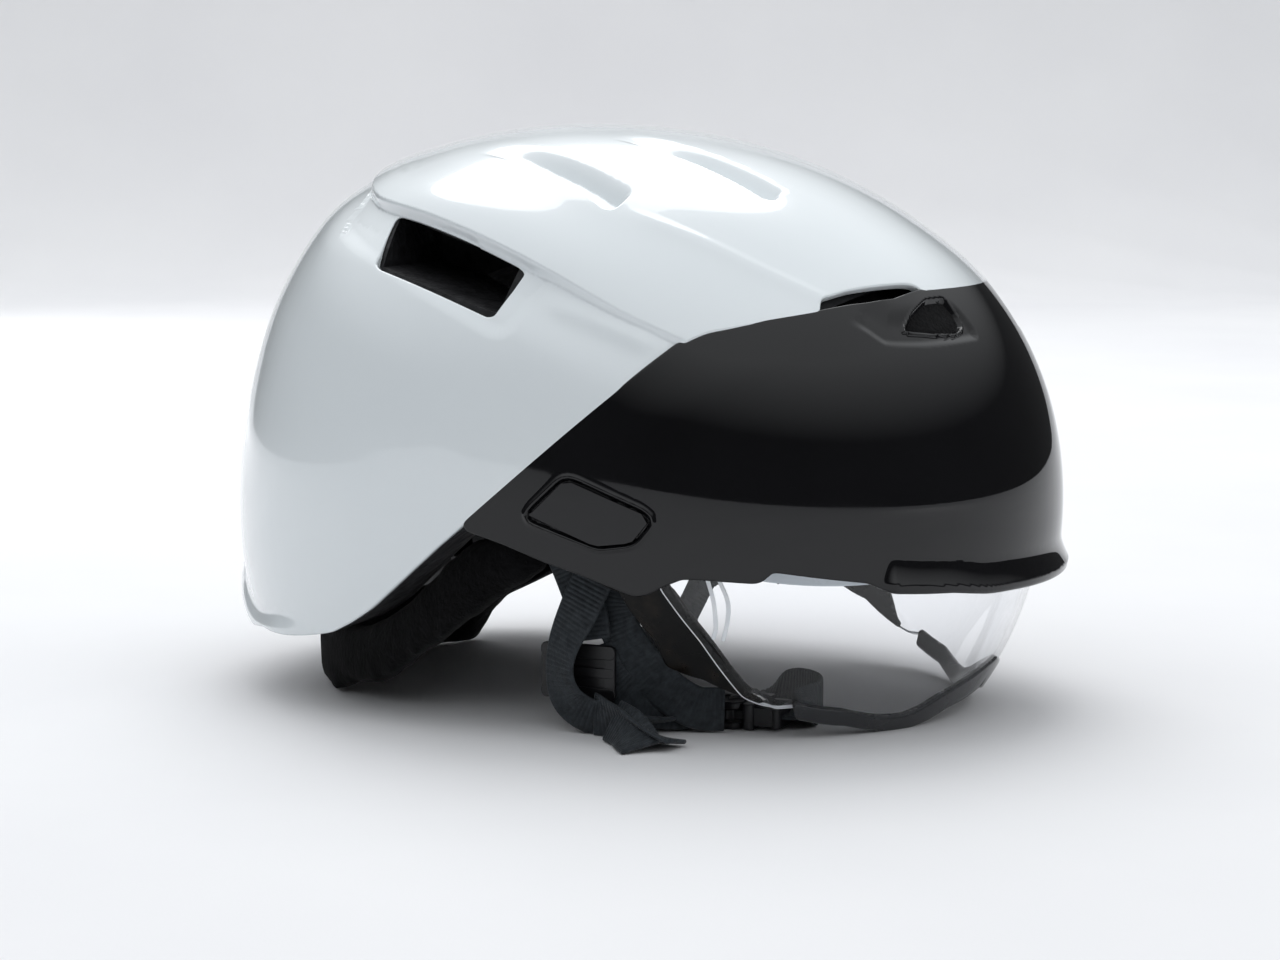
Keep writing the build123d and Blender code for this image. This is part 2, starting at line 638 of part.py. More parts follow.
# ---------------------------------------------------------------------------
# Side-release buckle
# ---------------------------------------------------------------------------
PRONG_W = 3.0
PRONG_GAP = 0.35
prongs = [BUCKLE_Y + s * (BUCKLE_W / 2 - 4.5) for s in (1, -1)]
with BuildPart() as socket:
    with Locations(((SOCKET_X0 + SOCKET_X1) / 2, BUCKLE_Y, BUCKLE_H / 2)):
        Box(SOCKET_X1 - SOCKET_X0, BUCKLE_W, BUCKLE_H)
    fillet(socket.edges().filter_by(Axis.X), 2.0)
    with Locations((SOCKET_X0 + 3, BUCKLE_Y, BUCKLE_H / 2)):
        Box(3, WEB_W + 1, 20, mode=Mode.SUBTRACT)
    for y in prongs + [BUCKLE_Y]:
        with Locations((SOCKET_X1 - 5.5, y, BUCKLE_H / 2)):
            Box(12, PRONG_W + 2 * PRONG_GAP, 4 + 2 * PRONG_GAP, mode=Mode.SUBTRACT)
save(socket, "buckle_socket")

with BuildPart() as plug:
    with Locations(((SOCKET_X1 + 0.3 + PLUG_X1) / 2, BUCKLE_Y, BUCKLE_H / 2)):
        Box(PLUG_X1 - SOCKET_X1 - 0.3, BUCKLE_W, BUCKLE_H)
    fillet(plug.edges().filter_by(Axis.X), 2.0)
    with Locations((PLUG_X1 - 3.5, BUCKLE_Y, BUCKLE_H / 2)):
        Box(3, WEB_W + 1, 20, mode=Mode.SUBTRACT)
    for y in prongs + [BUCKLE_Y]:
        with Locations((SOCKET_X1 - 4.5, y, BUCKLE_H / 2)):
            Box(10.8, PRONG_W, 4)
save(plug, "buckle_plug")
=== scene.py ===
import json
import math

import bmesh
import bpy
import numpy as np
from mathutils import Matrix, Vector, geometry, kdtree, noise


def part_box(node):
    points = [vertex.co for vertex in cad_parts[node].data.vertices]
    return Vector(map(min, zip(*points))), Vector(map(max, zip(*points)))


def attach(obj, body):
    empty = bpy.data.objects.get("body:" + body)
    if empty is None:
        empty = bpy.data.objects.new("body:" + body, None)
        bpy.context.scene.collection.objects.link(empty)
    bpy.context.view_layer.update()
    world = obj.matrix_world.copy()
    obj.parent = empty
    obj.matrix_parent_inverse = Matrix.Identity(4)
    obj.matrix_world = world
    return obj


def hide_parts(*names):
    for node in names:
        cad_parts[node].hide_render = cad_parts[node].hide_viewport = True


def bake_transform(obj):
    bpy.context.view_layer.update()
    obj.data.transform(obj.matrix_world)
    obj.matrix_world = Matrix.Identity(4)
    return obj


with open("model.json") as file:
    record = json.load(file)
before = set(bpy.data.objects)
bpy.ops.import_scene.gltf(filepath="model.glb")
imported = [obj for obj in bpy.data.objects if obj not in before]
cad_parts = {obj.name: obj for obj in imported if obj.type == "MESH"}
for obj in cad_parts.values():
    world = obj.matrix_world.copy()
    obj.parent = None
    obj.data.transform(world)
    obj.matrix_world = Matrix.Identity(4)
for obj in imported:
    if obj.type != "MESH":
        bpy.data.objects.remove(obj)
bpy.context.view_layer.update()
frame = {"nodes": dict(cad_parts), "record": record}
nodes = frame["nodes"]

# --- Driving dimensions, in millimetres.  Outlines are drawn from the dome centre ---
DOME = np.array([-2.2, 0.0, 73.5])
HALF_WIDTH = 105.0
FULLNESS = 0.06
SIDE_PROFILE = [
    (0, 146.6), (15, 143.7), (30, 137.6), (45, 128.9), (60, 122.8), (75, 119.5),
    (90, 119.5), (105, 123.5), (120, 131.1), (135, 139.2), (150, 140.3), (165, 139.7),
    (180, 141.2), (200, 145.5), (240, 150.0), (300, 148.0), (340, 147.5),
]
MAP_R = 130.0                 # millimetres of map per radian from the top
SHELL_T = 3.0
SEAM_HALF = 0.35              # half the visible gap between the shells
RIM_R = 0.8                   # rounding of a shell's edge
PIVOT = np.array([27.0, 0.0, -3.0])
LENS_R = 113.6
LENS_B = 97.0
LENS_T = 2.2
ARM_T = 2.4
WEB_W = 14.0
WEB_T = 1.6
COARSE = 2.4                  # mesh spacing on plain and on detailed stretches
FINE = 0.8
MIRROR = np.array([1, -1, 1])
TRACE_STEP = 1.5              # spacing of the points of a line that relief is measured from
FAR = 260.0                   # further out than any point of the dome
HALVINGS = 40
SKIN_STEP = 2e-3              # probe distances for normals, on the unit sphere
RELIEF_STEP = 6e-4
CHUNK = 6000                  # points handled at once, to spare memory

SEAM_LINE = [(-13, -3), (53, 53), (60, 56.8), (76, 60), (90, 62.5)]
REAR_EDGE = [(-24, -12), (-39, -25), (-51, -35), (-60, -40.5), (-69, -45), (-79, -47.3),
             (-91, -48.6), (-104, -48.1)]
FRONT_EDGE = [(139, -23.6), (129, -22), (115, -20.7), (110, -17.5), (86, -13.5),
              (83.4, -13.5), (80, -17), (63, -16), (57, -16), (50.6, -18.7), (46, -21.4),
              (42.6, -22.2), (25, -16.2), (13, -13), (-1, -8.3)]


# --- The dome's skin ---
KNOT_A = np.array([a for a, _ in SIDE_PROFILE], float)
KNOT_R = np.array([r for _, r in SIDE_PROFILE], float)
LONG_A = np.concatenate([KNOT_A[-1:] - 360, KNOT_A, KNOT_A[:2] + 360])
LONG_R = np.concatenate([KNOT_R[-1:], KNOT_R, KNOT_R[:2]])


def unit(v):
    return v / np.maximum(np.linalg.norm(v, axis=-1, keepdims=True), 1e-12)


def ramp(x, start, end):
    """Smooth 0 to 1 as x goes from start to end."""
    t = np.clip((x - start) / (end - start), 0.0, 1.0)
    return t * t * (3 - 2 * t)


def side_radius(angle):
    """Smooth closed curve through the side profile."""
    angle = np.mod(angle, 360)
    i = np.searchsorted(KNOT_A, angle, side="right")
    a0, a1, a2, a3 = (LONG_A[i + k] for k in (-1, 0, 1, 2))
    r0, r1, r2, r3 = (LONG_R[i + k] for k in (-1, 0, 1, 2))
    m1 = (r2 - r0) / (a2 - a0) * (a2 - a1)
    m2 = (r3 - r1) / (a3 - a1) * (a2 - a1)
    t = (angle - a1) / (a2 - a1)
    return (
        r1 * (2 * t**3 - 3 * t**2 + 1) + m1 * (t**3 - 2 * t**2 + t)
        + r2 * (3 * t**2 - 2 * t**3) + m2 * (t**3 - t**2)
    )


def skin(direction):
    """The skin's points in these unit directions from the dome centre."""
    lat = np.arcsin(np.clip(direction[:, 1], -1, 1))
    radius = side_radius(np.degrees(np.arctan2(direction[:, 2], direction[:, 0])))
    rho = 1 / np.hypot(np.cos(lat) / radius, np.sin(lat) / HALF_WIDTH)
    return direction * (rho * (1 + FULLNESS * np.sin(2 * lat) ** 2))[:, None]


def slide_out(points, axis):
    """Points inside the dome slid along axis until they lie on the skin."""
    points = np.asarray(points, float).reshape(-1, 3)
    axis = np.asarray(axis, float)
    low = np.zeros(len(points))
    high = np.full(len(points), FAR)
    for _ in range(HALVINGS):
        mid = (low + high) / 2
        p = points + mid[:, None] * axis
        length = np.linalg.norm(p, axis=1)
        inside = length < np.linalg.norm(skin(p / np.maximum(length, 1e-9)[:, None]), axis=1)
        low = np.where(inside, mid, low)
        high = np.where(inside, high, mid)
    return points + low[:, None] * axis


def side_points(outline):
    """Right-hand skin points of a side-view outline, where it lies inside the profile."""
    pts = np.array([(x, 0.0, z) for x, z in outline])
    return slide_out(pts, (0, -1, 0))


def onto_skin(points):
    return skin(unit(np.asarray(points, float)))


def tangents(direction):
    """Two unit vectors square to each direction."""
    helper = np.where(np.abs(direction[:, 2:3]) < 0.9, [[0.0, 0.0, 1.0]], [[1.0, 0.0, 0.0]])
    t1 = unit(np.cross(helper, direction))
    return t1, np.cross(direction, t1)


def field_normals(surface, direction, step):
    """Normals of a surface given by direction, by central differences."""
    t1, t2 = tangents(direction)
    count = len(direction)
    probes = np.concatenate([direction + s * t for t in (t1, t2) for s in (step, -step)])
    p = surface(unit(probes))
    d1 = p[:count] - p[count:2 * count]
    d2 = p[2 * count:3 * count] - p[3 * count:]
    return unit(np.cross(d1, d2))


def skin_normals(direction):
    return field_normals(skin, direction, SKIN_STEP)


# --- Lines drawn on a surface ---
def smooth_line(points, spacing, closed=False):
    """Catmull-Rom line through the points, evenly spaced."""
    pts = np.asarray(points, float)
    count = len(pts)
    spans = count if closed else count - 1
    out = []
    for i in range(spans):
        if closed:
            p0, p1, p2, p3 = (pts[(i + k) % count] for k in (-1, 0, 1, 2))
        else:
            p1, p2 = pts[i], pts[i + 1]
            p0 = pts[i - 1] if i > 0 else 2 * p1 - p2
            p3 = pts[i + 2] if i + 2 < count else 2 * p2 - p1
        t = np.linspace(0, 1, 16, endpoint=False)[:, None]
        out.append(0.5 * (2 * p1 + (p2 - p0) * t + (2 * p0 - 5 * p1 + 4 * p2 - p3) * t**2
                          + (3 * p1 - p0 - 3 * p2 + p3) * t**3))
    line = np.concatenate(out)
    if not closed:
        line = np.concatenate([line, pts[-1:]])
    return evenly(line, spacing, closed)


def evenly(line, spacing, closed=False):
    """The polyline resampled at an even spacing."""
    line = np.asarray(line, float)
    if closed:
        line = np.concatenate([line, line[:1]])
    lengths = np.concatenate([[0], np.cumsum(np.linalg.norm(np.diff(line, axis=0), axis=1))])
    count = max(3, int(round(lengths[-1] / spacing)))
    at = np.linspace(0, lengths[-1], count + 1)
    out = np.stack([np.interp(at, lengths, line[:, k]) for k in range(line.shape[1])], axis=1)
    return out[:-1] if closed else out


def softened(loop, reach, spacing):
    """A closed loop with its corners rounded by a running mean of the given reach."""
    loop = evenly(loop, spacing, closed=True)
    width = max(1, int(round(reach / spacing)))
    kernel = np.hanning(2 * width + 3)[1:-1]
    kernel /= kernel.sum()
    padded_loop = np.concatenate([loop[-width:], loop, loop[:width]])
    return np.stack([np.convolve(padded_loop[:, k], kernel, "valid") for k in range(loop.shape[1])], 1)


def unroll(p):
    """The skin's points on a flat map round its top."""
    d = unit(np.asarray(p, float))
    polar = np.arccos(np.clip(d[:, 2], -1, 1)) * MAP_R
    azimuth = np.arctan2(d[:, 1], d[:, 0])
    return np.stack([polar * np.cos(azimuth), polar * np.sin(azimuth)], axis=1)


def within(points, loop):
    """Which flat points lie inside the closed loop."""
    x0, y0 = loop[:, 0], loop[:, 1]
    x1, y1 = np.roll(x0, -1), np.roll(y0, -1)
    result = np.empty(len(points), bool)
    slope = (x1 - x0) / np.where(np.abs(y1 - y0) < 1e-12, 1e-12, y1 - y0)
    for lo in range(0, len(points), CHUNK):
        px, py = points[lo:lo + CHUNK, 0:1], points[lo:lo + CHUNK, 1:2]
        crosses = ((y0 > py) != (y1 > py)) & (px < x0 + slope * (py - y0))
        result[lo:lo + CHUNK] = crosses.sum(1) % 2 == 1
    return result


class Trace:
    """A line on the skin that says how far points lie from it, on which side and where along it."""

    def __init__(self, points, closed=False):
        line = onto_skin(smooth_line(points, TRACE_STEP, closed))
        if closed:
            line = np.concatenate([line, line[:1]])
        self.points = line
        self.a = line[:-1]
        self.d = np.diff(line, axis=0)
        self.len2 = (self.d**2).sum(1)
        self.start = np.concatenate([[0], np.cumsum(np.sqrt(self.len2))])
        self.length = self.start[-1]
        self.loop = unroll(line[:-1]) if closed else None

    def depth(self, p):
        """Distance from a closed line, positive inside it."""
        away = np.abs(self.measure(p)[0])
        return np.where(within(unroll(p), self.loop), away, -away)

    def measure(self, p):
        """Signed distance, positive on the left of its run seen from outside, and share of its length."""
        side = np.empty(len(p))
        share = np.empty(len(p))
        for lo in range(0, len(p), CHUNK):
            q = p[lo:lo + CHUNK]
            off = q[:, None, :] - self.a[None]
            t = np.clip((off * self.d).sum(2) / self.len2, 0, 1)
            rest = off - t[:, :, None] * self.d
            dist2 = (rest**2).sum(2)
            j = dist2.argmin(1)
            rows = np.arange(len(q))
            r = rest[rows, j]
            turn = (np.cross(self.d[j], r) * q).sum(1)
            side[lo:lo + CHUNK] = np.sqrt(dist2[rows, j]) * np.where(turn >= 0, 1, -1)
            share[lo:lo + CHUNK] = (self.start[j] + t[rows, j] * np.sqrt(self.len2[j])) / self.length
        return side, share


def right_hand(p):
    """Both halves folded onto the wearer's right."""
    q = p.copy()
    q[:, 1] = -np.abs(q[:, 1])
    return q


def right(points):
    """Points given with their distance from the middle, on the wearer's right."""
    return [(x, -y, z) for x, y, z in points]


# --- Maps: flat domain <-> surface ---
class DomeMap:
    """The skin unrolled from the top.  relief gives how far its outside stands off the skin."""

    def __init__(self, relief, inner):
        self.relief = relief
        self.inner = inner

    def direction(self, uv):
        polar = np.hypot(uv[:, 0], uv[:, 1]) / MAP_R
        azimuth = np.arctan2(uv[:, 1], uv[:, 0])
        flat = np.sin(polar)
        return np.stack([flat * np.cos(azimuth), flat * np.sin(azimuth), np.cos(polar)], 1)

    def surface(self, direction):
        base = skin(direction)
        return base + self.relief(base)[:, None] * skin_normals(direction)

    def outside(self, uv):
        d = self.direction(uv)
        return self.surface(d), field_normals(self.surface, d, RELIEF_STEP)

    def inside(self, uv):
        d = self.direction(uv)
        base = skin(d)
        n = skin_normals(d)
        return base - self.inner(base)[:, None] * n, -n


class TurnedMap:
    """A surface of revolution about the visor's pivot axis, inset from the lens's outside."""

    def __init__(self, inset, thickness, relief=None):
        self.a = LENS_R - inset
        self.b = LENS_B - inset
        self.thickness = thickness
        self.relief = relief

    def from_side(self, outline):
        """Flat points of a side-view outline on the wearer's right."""
        x = np.array([p[0] for p in outline], float) - PIVOT[0]
        z = np.array([p[1] for p in outline], float) - PIVOT[2]
        y = -self.b * np.sqrt(np.clip(1 - (np.hypot(x, z) / self.a) ** 2, 0, 1))
        return np.stack([self.b * np.arcsin(np.clip(y / self.b, -1, 1)), np.arctan2(z, x) * LENS_R], 1)

    def raw(self, uv, off):
        y = self.b * np.sin(uv[:, 0] / self.b)
        radius = self.a * np.cos(uv[:, 0] / self.b)
        phi = uv[:, 1] / LENS_R
        p = np.stack([radius * np.cos(phi), y, radius * np.sin(phi)], 1)
        n = unit(np.stack([p[:, 0] / self.a**2, y / self.b**2, p[:, 2] / self.a**2], 1))
        return PIVOT + p + n * np.reshape(off, (-1, 1))

    def normals(self, uv, offset):
        step = 0.1
        du = np.array([[step, 0.0]])
        dv = np.array([[0.0, step]])
        p1 = self.raw(uv + du, offset(uv + du)) - self.raw(uv - du, offset(uv - du))
        p2 = self.raw(uv + dv, offset(uv + dv)) - self.raw(uv - dv, offset(uv - dv))
        return unit(np.cross(p1, p2))

    def outer_off(self, uv):
        return np.zeros(len(uv)) if self.relief is None else self.relief(uv)

    def outside(self, uv):
        return self.raw(uv, self.outer_off(uv)), self.normals(uv, self.outer_off)

    def inside(self, uv):
        def off(q):
            return self.outer_off(q) - self.thickness
        return self.raw(uv, off(uv)), -self.normals(uv, off)


# --- Patches: an outline with holes filled with triangles on a surface ---
def tree_of(points):
    tree = kdtree.KDTree(len(points))
    for i, p in enumerate(points):
        tree.insert((float(p[0]), float(p[1]), float(p[2]) if len(p) > 2 else 0.0), i)
    tree.balance()
    return tree


def gap_to(points, tree):
    z = points[:, 2] if points.shape[1] > 2 else np.zeros(len(points))
    return np.array([tree.find((a, b, c))[2] for a, b, c in zip(points[:, 0], points[:, 1], z)])


def hex_grid(low, high, spacing):
    rows = np.arange(low[1], high[1], spacing * math.sqrt(3) / 2)
    cols = np.arange(low[0], high[0], spacing)
    u, v = np.meshgrid(cols, rows)
    u = u + (np.arange(len(rows)) % 2)[:, None] * spacing / 2
    return np.stack([u.ravel(), v.ravel()], 1)


def area(loop):
    x, y = loop[:, 0], loop[:, 1]
    return 0.5 * (x * np.roll(y, -1) - np.roll(x, -1) * y).sum()


def place(points):
    """Millimetres from the dome centre to metres in the row frame."""
    return (points + DOME) / 1000


def add_object(name, data):
    obj = bpy.data.objects.new(name, data)
    bpy.context.scene.collection.objects.link(obj)
    return obj


def smooth_faces(mesh):
    mesh.polygons.foreach_set("use_smooth", [True] * len(mesh.polygons))


def mesh_object(name, verts, faces, normals=None, rim_from=None):
    """A smooth mesh; faces that use vertices from rim_from on take the second material."""
    mesh = bpy.data.meshes.new(name)
    faces = [tuple(int(i) for i in f) for f in faces if len(set(f)) == len(f)]
    mesh.from_pydata([tuple(v) for v in verts], [], faces)
    mesh.validate()
    if rim_from is not None:
        for face in mesh.polygons:
            face.material_index = int(max(face.vertices) >= rim_from)
    smooth_faces(mesh)
    obj = add_object(name, mesh)
    if normals is not None:
        mesh.normals_split_custom_set_from_vertices([tuple(n) for n in normals])
    mesh.update()
    return obj


def patch(name, surface, outline, holes=(), marks=None, reach=7.0, coarse=COARSE, fine=FINE, rim=RIM_R,
          edge_step=1.0, painted_edge_highlight=False):
    """A closed thin-walled piece: outside, inside and a rounded rim along every loop."""
    loops = [outline if area(outline) > 0 else outline[::-1]]
    loops += [h if area(h) < 0 else h[::-1] for h in holes]
    loops = [evenly(loop, edge_step, closed=True) for loop in loops]
    low, high = loops[0].min(0) - 1, loops[0].max(0) + 1

    def filled(pts):
        ok = within(pts, loops[0])
        for hole in loops[1:]:
            ok &= ~within(pts, hole)
        return ok

    grid = hex_grid(low, high, coarse)
    spots = [grid]
    if marks is not None:
        marked = tree_of(marks)
        dense = hex_grid(low, high, fine)
        dense = dense[within(dense, loops[0])]
        dense = dense[gap_to(skin(surface.direction(dense)), marked) < reach]
        grid = grid[gap_to(skin(surface.direction(grid)), marked) >= reach + fine / 2]
        spots = [grid, dense]
    rims = tree_of(np.concatenate(loops))
    kept = []
    for pts, spacing in zip(spots, (coarse, fine)):
        pts = pts[filled(pts)]
        kept.append(pts[gap_to(pts, rims) > 0.5 * min(spacing, edge_step * 1.4)])
    count = [len(loop) for loop in loops]
    first = np.concatenate([[0], np.cumsum(count)])
    flat = np.concatenate(loops + kept)
    edges = [(int(first[k] + i), int(first[k] + (i + 1) % n))
             for k, n in enumerate(count) for i in range(n)]
    coords = [Vector((float(u), float(v))) for u, v in flat]
    out, _, tris, origins, _, _ = geometry.delaunay_2d_cdt(coords, edges, [], 0, 1e-6)
    uv = np.array([(p[0], p[1]) for p in out])
    tris = np.array([t for t in tris if len(t) == 3], int)
    tris = tris[filled(uv[tris].mean(1))]
    a, b, c = uv[tris[:, 0]], uv[tris[:, 1]], uv[tris[:, 2]]
    turn = (b[:, 0] - a[:, 0]) * (c[:, 1] - a[:, 1]) - (b[:, 1] - a[:, 1]) * (c[:, 0] - a[:, 0])
    tris[turn < 0] = tris[turn < 0][:, ::-1]
    used = np.unique(tris)
    renumber = np.full(len(uv), -1)
    renumber[used] = np.arange(len(used))
    uv, tris = uv[used], renumber[tris]
    came_from = {}
    for i, source in enumerate(origins):
        for s in source:
            came_from[s] = renumber[i]
    outer, outer_n = surface.outside(uv)
    inner, inner_n = surface.inside(uv)
    total = len(uv)
    verts, normals = [outer, inner], [outer_n, inner_n]
    faces = [tuple(t) for t in tris] + [tuple(t[::-1] + total) for t in tris]
    base = 2 * total
    angles = np.radians([30, 60, 90])
    for k, n in enumerate(count):
        ids = np.array([came_from[int(first[k] + i)] for i in range(n)])
        p, q, nn = outer[ids], inner[ids], outer_n[ids]
        along = unit(np.roll(p, -1, 0) - np.roll(p, 1, 0))
        away = unit(np.cross(along, nn))
        down = unit(q - p)
        depth = np.linalg.norm(q - p, axis=1, keepdims=True)
        r = np.minimum(rim, depth * 0.45)
        rows = [ids]
        for side in (1, -1):
            for ang in angles if side == 1 else angles[::-1]:
                drop = r * (1 - math.cos(ang))
                drop = drop if side == 1 else depth - drop
                verts.append(p + away * r * math.sin(ang) + down * drop)
                normals.append(unit(away * math.sin(ang) - down * math.cos(ang) * side))
                rows.append(np.arange(base, base + n))
                base += n
        rows.append(ids + total)
        for up, dn in zip(rows, rows[1:]):
            nxt = np.roll(np.arange(n), -1)
            faces += [(int(up[i]), int(dn[i]), int(dn[j]), int(up[j])) for i, j in enumerate(nxt)]
    # With painted_edge_highlight set, the rim faces take the second material, a near-white painted
    # highlight.
    return mesh_object(name, place(np.concatenate(verts)), faces, np.concatenate(normals),
                       2 * total if painted_edge_highlight else None)


def shrink_on_skin(loop3d, amount):
    """A closed loop on the skin moved inwards over it.  It runs anticlockwise seen from outside."""
    n = skin_normals(unit(loop3d))
    along = unit(np.roll(loop3d, -1, 0) - np.roll(loop3d, 1, 0))
    return onto_skin(loop3d - unit(np.cross(along, n)) * np.reshape(amount, (-1, 1)))


def mirrored(half):
    """A right-hand half line from middle to middle, closed by its mirror image."""
    other = half[::-1] * MIRROR
    return np.concatenate([half, other[1:-1]])


# --- Shell outlines ---
NOTCH = right([(113, 34, 67.2), (110, 35.5, 70), (108, 39, 70.6), (103, 48, 70.6), (96, 57.5, 69.4),
               (90, 66, 67.2), (91, 69, 63)])
ARCH_YZ = [(-64, 24), (-42, 32), (-21, 43), (0, 48)]

front_top = slide_out([[100.0, -y, 67.6] for y in (0, 8, 18, 28)], (1, 0, 0))
seam = side_points(evenly(SEAM_LINE[::-1], 3.0))
rear = side_points(evenly(REAR_EDGE, 3.0))
arch = slide_out([[-80.0, y, z - DOME[2]] for y, z in ARCH_YZ], (-1, 0, 0))
white_half = np.concatenate([front_top, onto_skin(NOTCH), seam[1:], rear, arch])
white_loop = softened(mirrored(white_half), 2.4, 0.8)
white_loop = shrink_on_skin(onto_skin(white_loop)[::-1], SEAM_HALF + RIM_R)

black_top = slide_out([[100.0, -y, 67.6] for y in (0, 8, 18, 28, 36)], (1, 0, 0))
black_upper = side_points(evenly(SEAM_LINE[::-1], 3.0))
BROW_YZ = [(0, -24.5), (15, -24.4), (30, -24.1), (42, -23.8)]
black_front = slide_out([[100.0, -y, z] for y, z in BROW_YZ], (1, 0, 0))
black_lower = side_points(evenly(FRONT_EDGE[1:], 1.5))
tip = side_points([(-14.5, -4.6)])
black_half = np.concatenate([black_top, onto_skin(right([(107, 47, 64.8)])), black_upper, tip,
                             black_lower[::-1], black_front[::-1]])
black_loop = softened(mirrored(black_half), 1.6, 0.8)
black_loop = shrink_on_skin(onto_skin(black_loop)[::-1], SEAM_HALF + RIM_R)

# --- Shell relief ---
CROWN = Trace(right([(-81, 0, 101), (-79.5, 20, 100.2), (-78, 40, 98.6), (-72, 55, 96.4), (-60, 65.5, 93.6),
                     (-30, 79.5, 87.6), (-4, 87, 79), (26, 92, 66), (40, 92.6, 60), (57, 91.5, 53.4)]))
SUNK = Trace(right([(-71, 60, 77), (-57, 66, 69), (-35, 78, 60.6), (-15.5, 84, 52.7), (-6.5, 88, 50.5),
                    (-1.6, 88, 53.5), (3.5, 86, 63), (6.6, 84, 72.5), (2, 80, 80)]))
FOLD = Trace(right([(4, 88, 66), (22, 92, 63), (40, 93, 57), (52, 93, 52)]))
SOFT_CREASE = Trace(right([(23, 70, 95), (37, 71, 90), (51, 71, 85), (71, 70, 77), (90, 65, 67.5)]))
REAR_RIM = Trace(np.concatenate([side_points([(-84, -48), (-94, -48.4)]), arch]))
SLOTS = [((-37, 42.5), (23, 69.5)), ((6, 30), (66, 42))]
SLOT_DEPTH = 4.2
RELIEF_MIN = -2.4            # the shell keeps some wall in its valleys


def slot_depth(p):
    """Blind teardrop slots in the crown: soft behind and above, crisp below and in front."""
    depth = np.zeros(len(p))
    for start, end in SLOTS:
        a, b = np.array(start, float), np.array(end, float)
        length = np.linalg.norm(b - a)
        d = (b - a) / length
        rel = np.stack([p[:, 0], np.abs(p[:, 1])], 1) - a
        along = rel @ d
        out = rel @ np.array([-d[1], d[0]])
        nose = np.maximum(along - (length - 4.5), 0)
        lower = 1 - ramp(np.hypot(nose, np.maximum(out + 0.5, 0)), 2.2, 4.4)
        upper = ramp(out, -8.0, 1.5) * (1 - ramp(nose, 2.0, 4.4))
        depth = np.maximum(depth, ramp(along, -2.0, 0.62 * length) * np.minimum(lower, 1.25 * upper))
    return SLOT_DEPTH * depth * (p[:, 2] > 30)


def white_relief(p):
    q = right_hand(p)
    s, t = CROWN.measure(q)
    strength = (0.6 + 0.4 * ramp(t, 0.1, 0.3)) * (1 - 0.65 * ramp(t, 0.7, 1.0))
    upper = 1.7 * (1 - ramp(s, 2, 26))
    lower = -1.7 * (1 - ramp(-s, 3.5, 24))
    step = ramp(s, -1.8, 1.0)
    height = strength * (step * upper + (1 - step) * lower)
    d, share = SUNK.measure(q)
    sunk = ramp(d, -3.0, 3.5) * ramp(-s, 0, 3) * (1 - ramp(share, 0.92, 1.0))
    around = (s < 1) & (np.abs(d) < 60) & (q[:, 0] > -80) & (q[:, 0] < 8)
    height = height - 1.1 * np.where(around, sunk, 0)
    f, ft = FOLD.measure(q)
    ends = ramp(ft, 0.0, 0.25) * (1 - ramp(ft, 0.7, 1.0))
    height = height + 0.9 * ends * np.exp(-((f + 2.0) / 4.0) ** 2) * ramp(-s, 0, 1.5)
    c, ct = SOFT_CREASE.measure(q)
    height = height + 0.5 * ramp(ct, 0.0, 0.25) * np.exp(-(c / 4.0) ** 2) * (1 - 0.6 * ramp(c, 0, 3))
    e, _ = REAR_RIM.measure(q)
    flare = 3.2 * (1 - ramp(np.abs(e), 1.0, 7.5)) * ramp(-q[:, 0], 72, 100) * (q[:, 2] < 0)
    return np.maximum(height, RELIEF_MIN) + flare - slot_depth(p)


def white_inner(p):
    return np.maximum(SHELL_T, slot_depth(p) + 0.9)


VENT = right([(-58.5, 67, 91.0), (-57.2, 66, 92.2), (-4.0, 84, 77.4), (-1.4, 85, 75.2), (-8.6, 88, 60.9),
              (-11.5, 87, 60.3), (-55.5, 72, 73.6), (-58.2, 70, 75.6)])
vent_line = softened(side_points([(x, z) for x, _, z in VENT]), 2.0, 0.6)

white_map = DomeMap(white_relief, white_inner)
vents = [unroll(vent_line), unroll(vent_line * MIRROR)]
slot_marks = np.concatenate([
    slide_out([[x, s * y, 0] for x, y in evenly(slot, 2.0)], (0, 0, 1))
    for slot in SLOTS for s in (1, -1)
])
white_marks = np.concatenate([CROWN.points, SUNK.points, SOFT_CREASE.points, REAR_RIM.points])
white_marks = np.concatenate([white_marks, white_marks * MIRROR, slot_marks])
white = patch("white_shell", white_map, unroll(white_loop), vents, white_marks)

# --- Black front shell ---
BROW_RIM = Trace(np.concatenate([black_front, side_points([(129, -22), (121, -21.3), (112.5, -19.6)])]))
BOSS = [(7, 0), (9, 2.4), (18, 10.7), (20, 11.6), (23, 11.2), (44.4, 2.9), (47, 1.2), (47.6, -0.4),
        (43, -6), (40.5, -7.2), (31.4, -8.6), (29, -8.1), (8, -1.5)]
BOSS_LINE = Trace(softened(side_points(evenly(BOSS, 1.0, closed=True)), 0.8, 0.8), closed=True)
SCOOP = right([(112, 52, 57), (112, 45, 62), (114, 36, 66), (117, 27, 66), (121.5, 26, 61), (124, 27, 57),
               (124, 32, 55), (118, 43, 55.5)])
SCOOP_LINE = Trace(softened(onto_skin(SCOOP), 2.0, 1.0), closed=True)
SCOOP_LOW = Trace(right([(97, 65, 61), (103, 62, 58), (107, 60.5, 55.4), (110, 58, 53.6), (119, 46, 53),
                         (126, 28, 53.4), (127, 24, 54.4), (124, 24, 58), (121, 25, 62), (118, 26.5, 66)]))


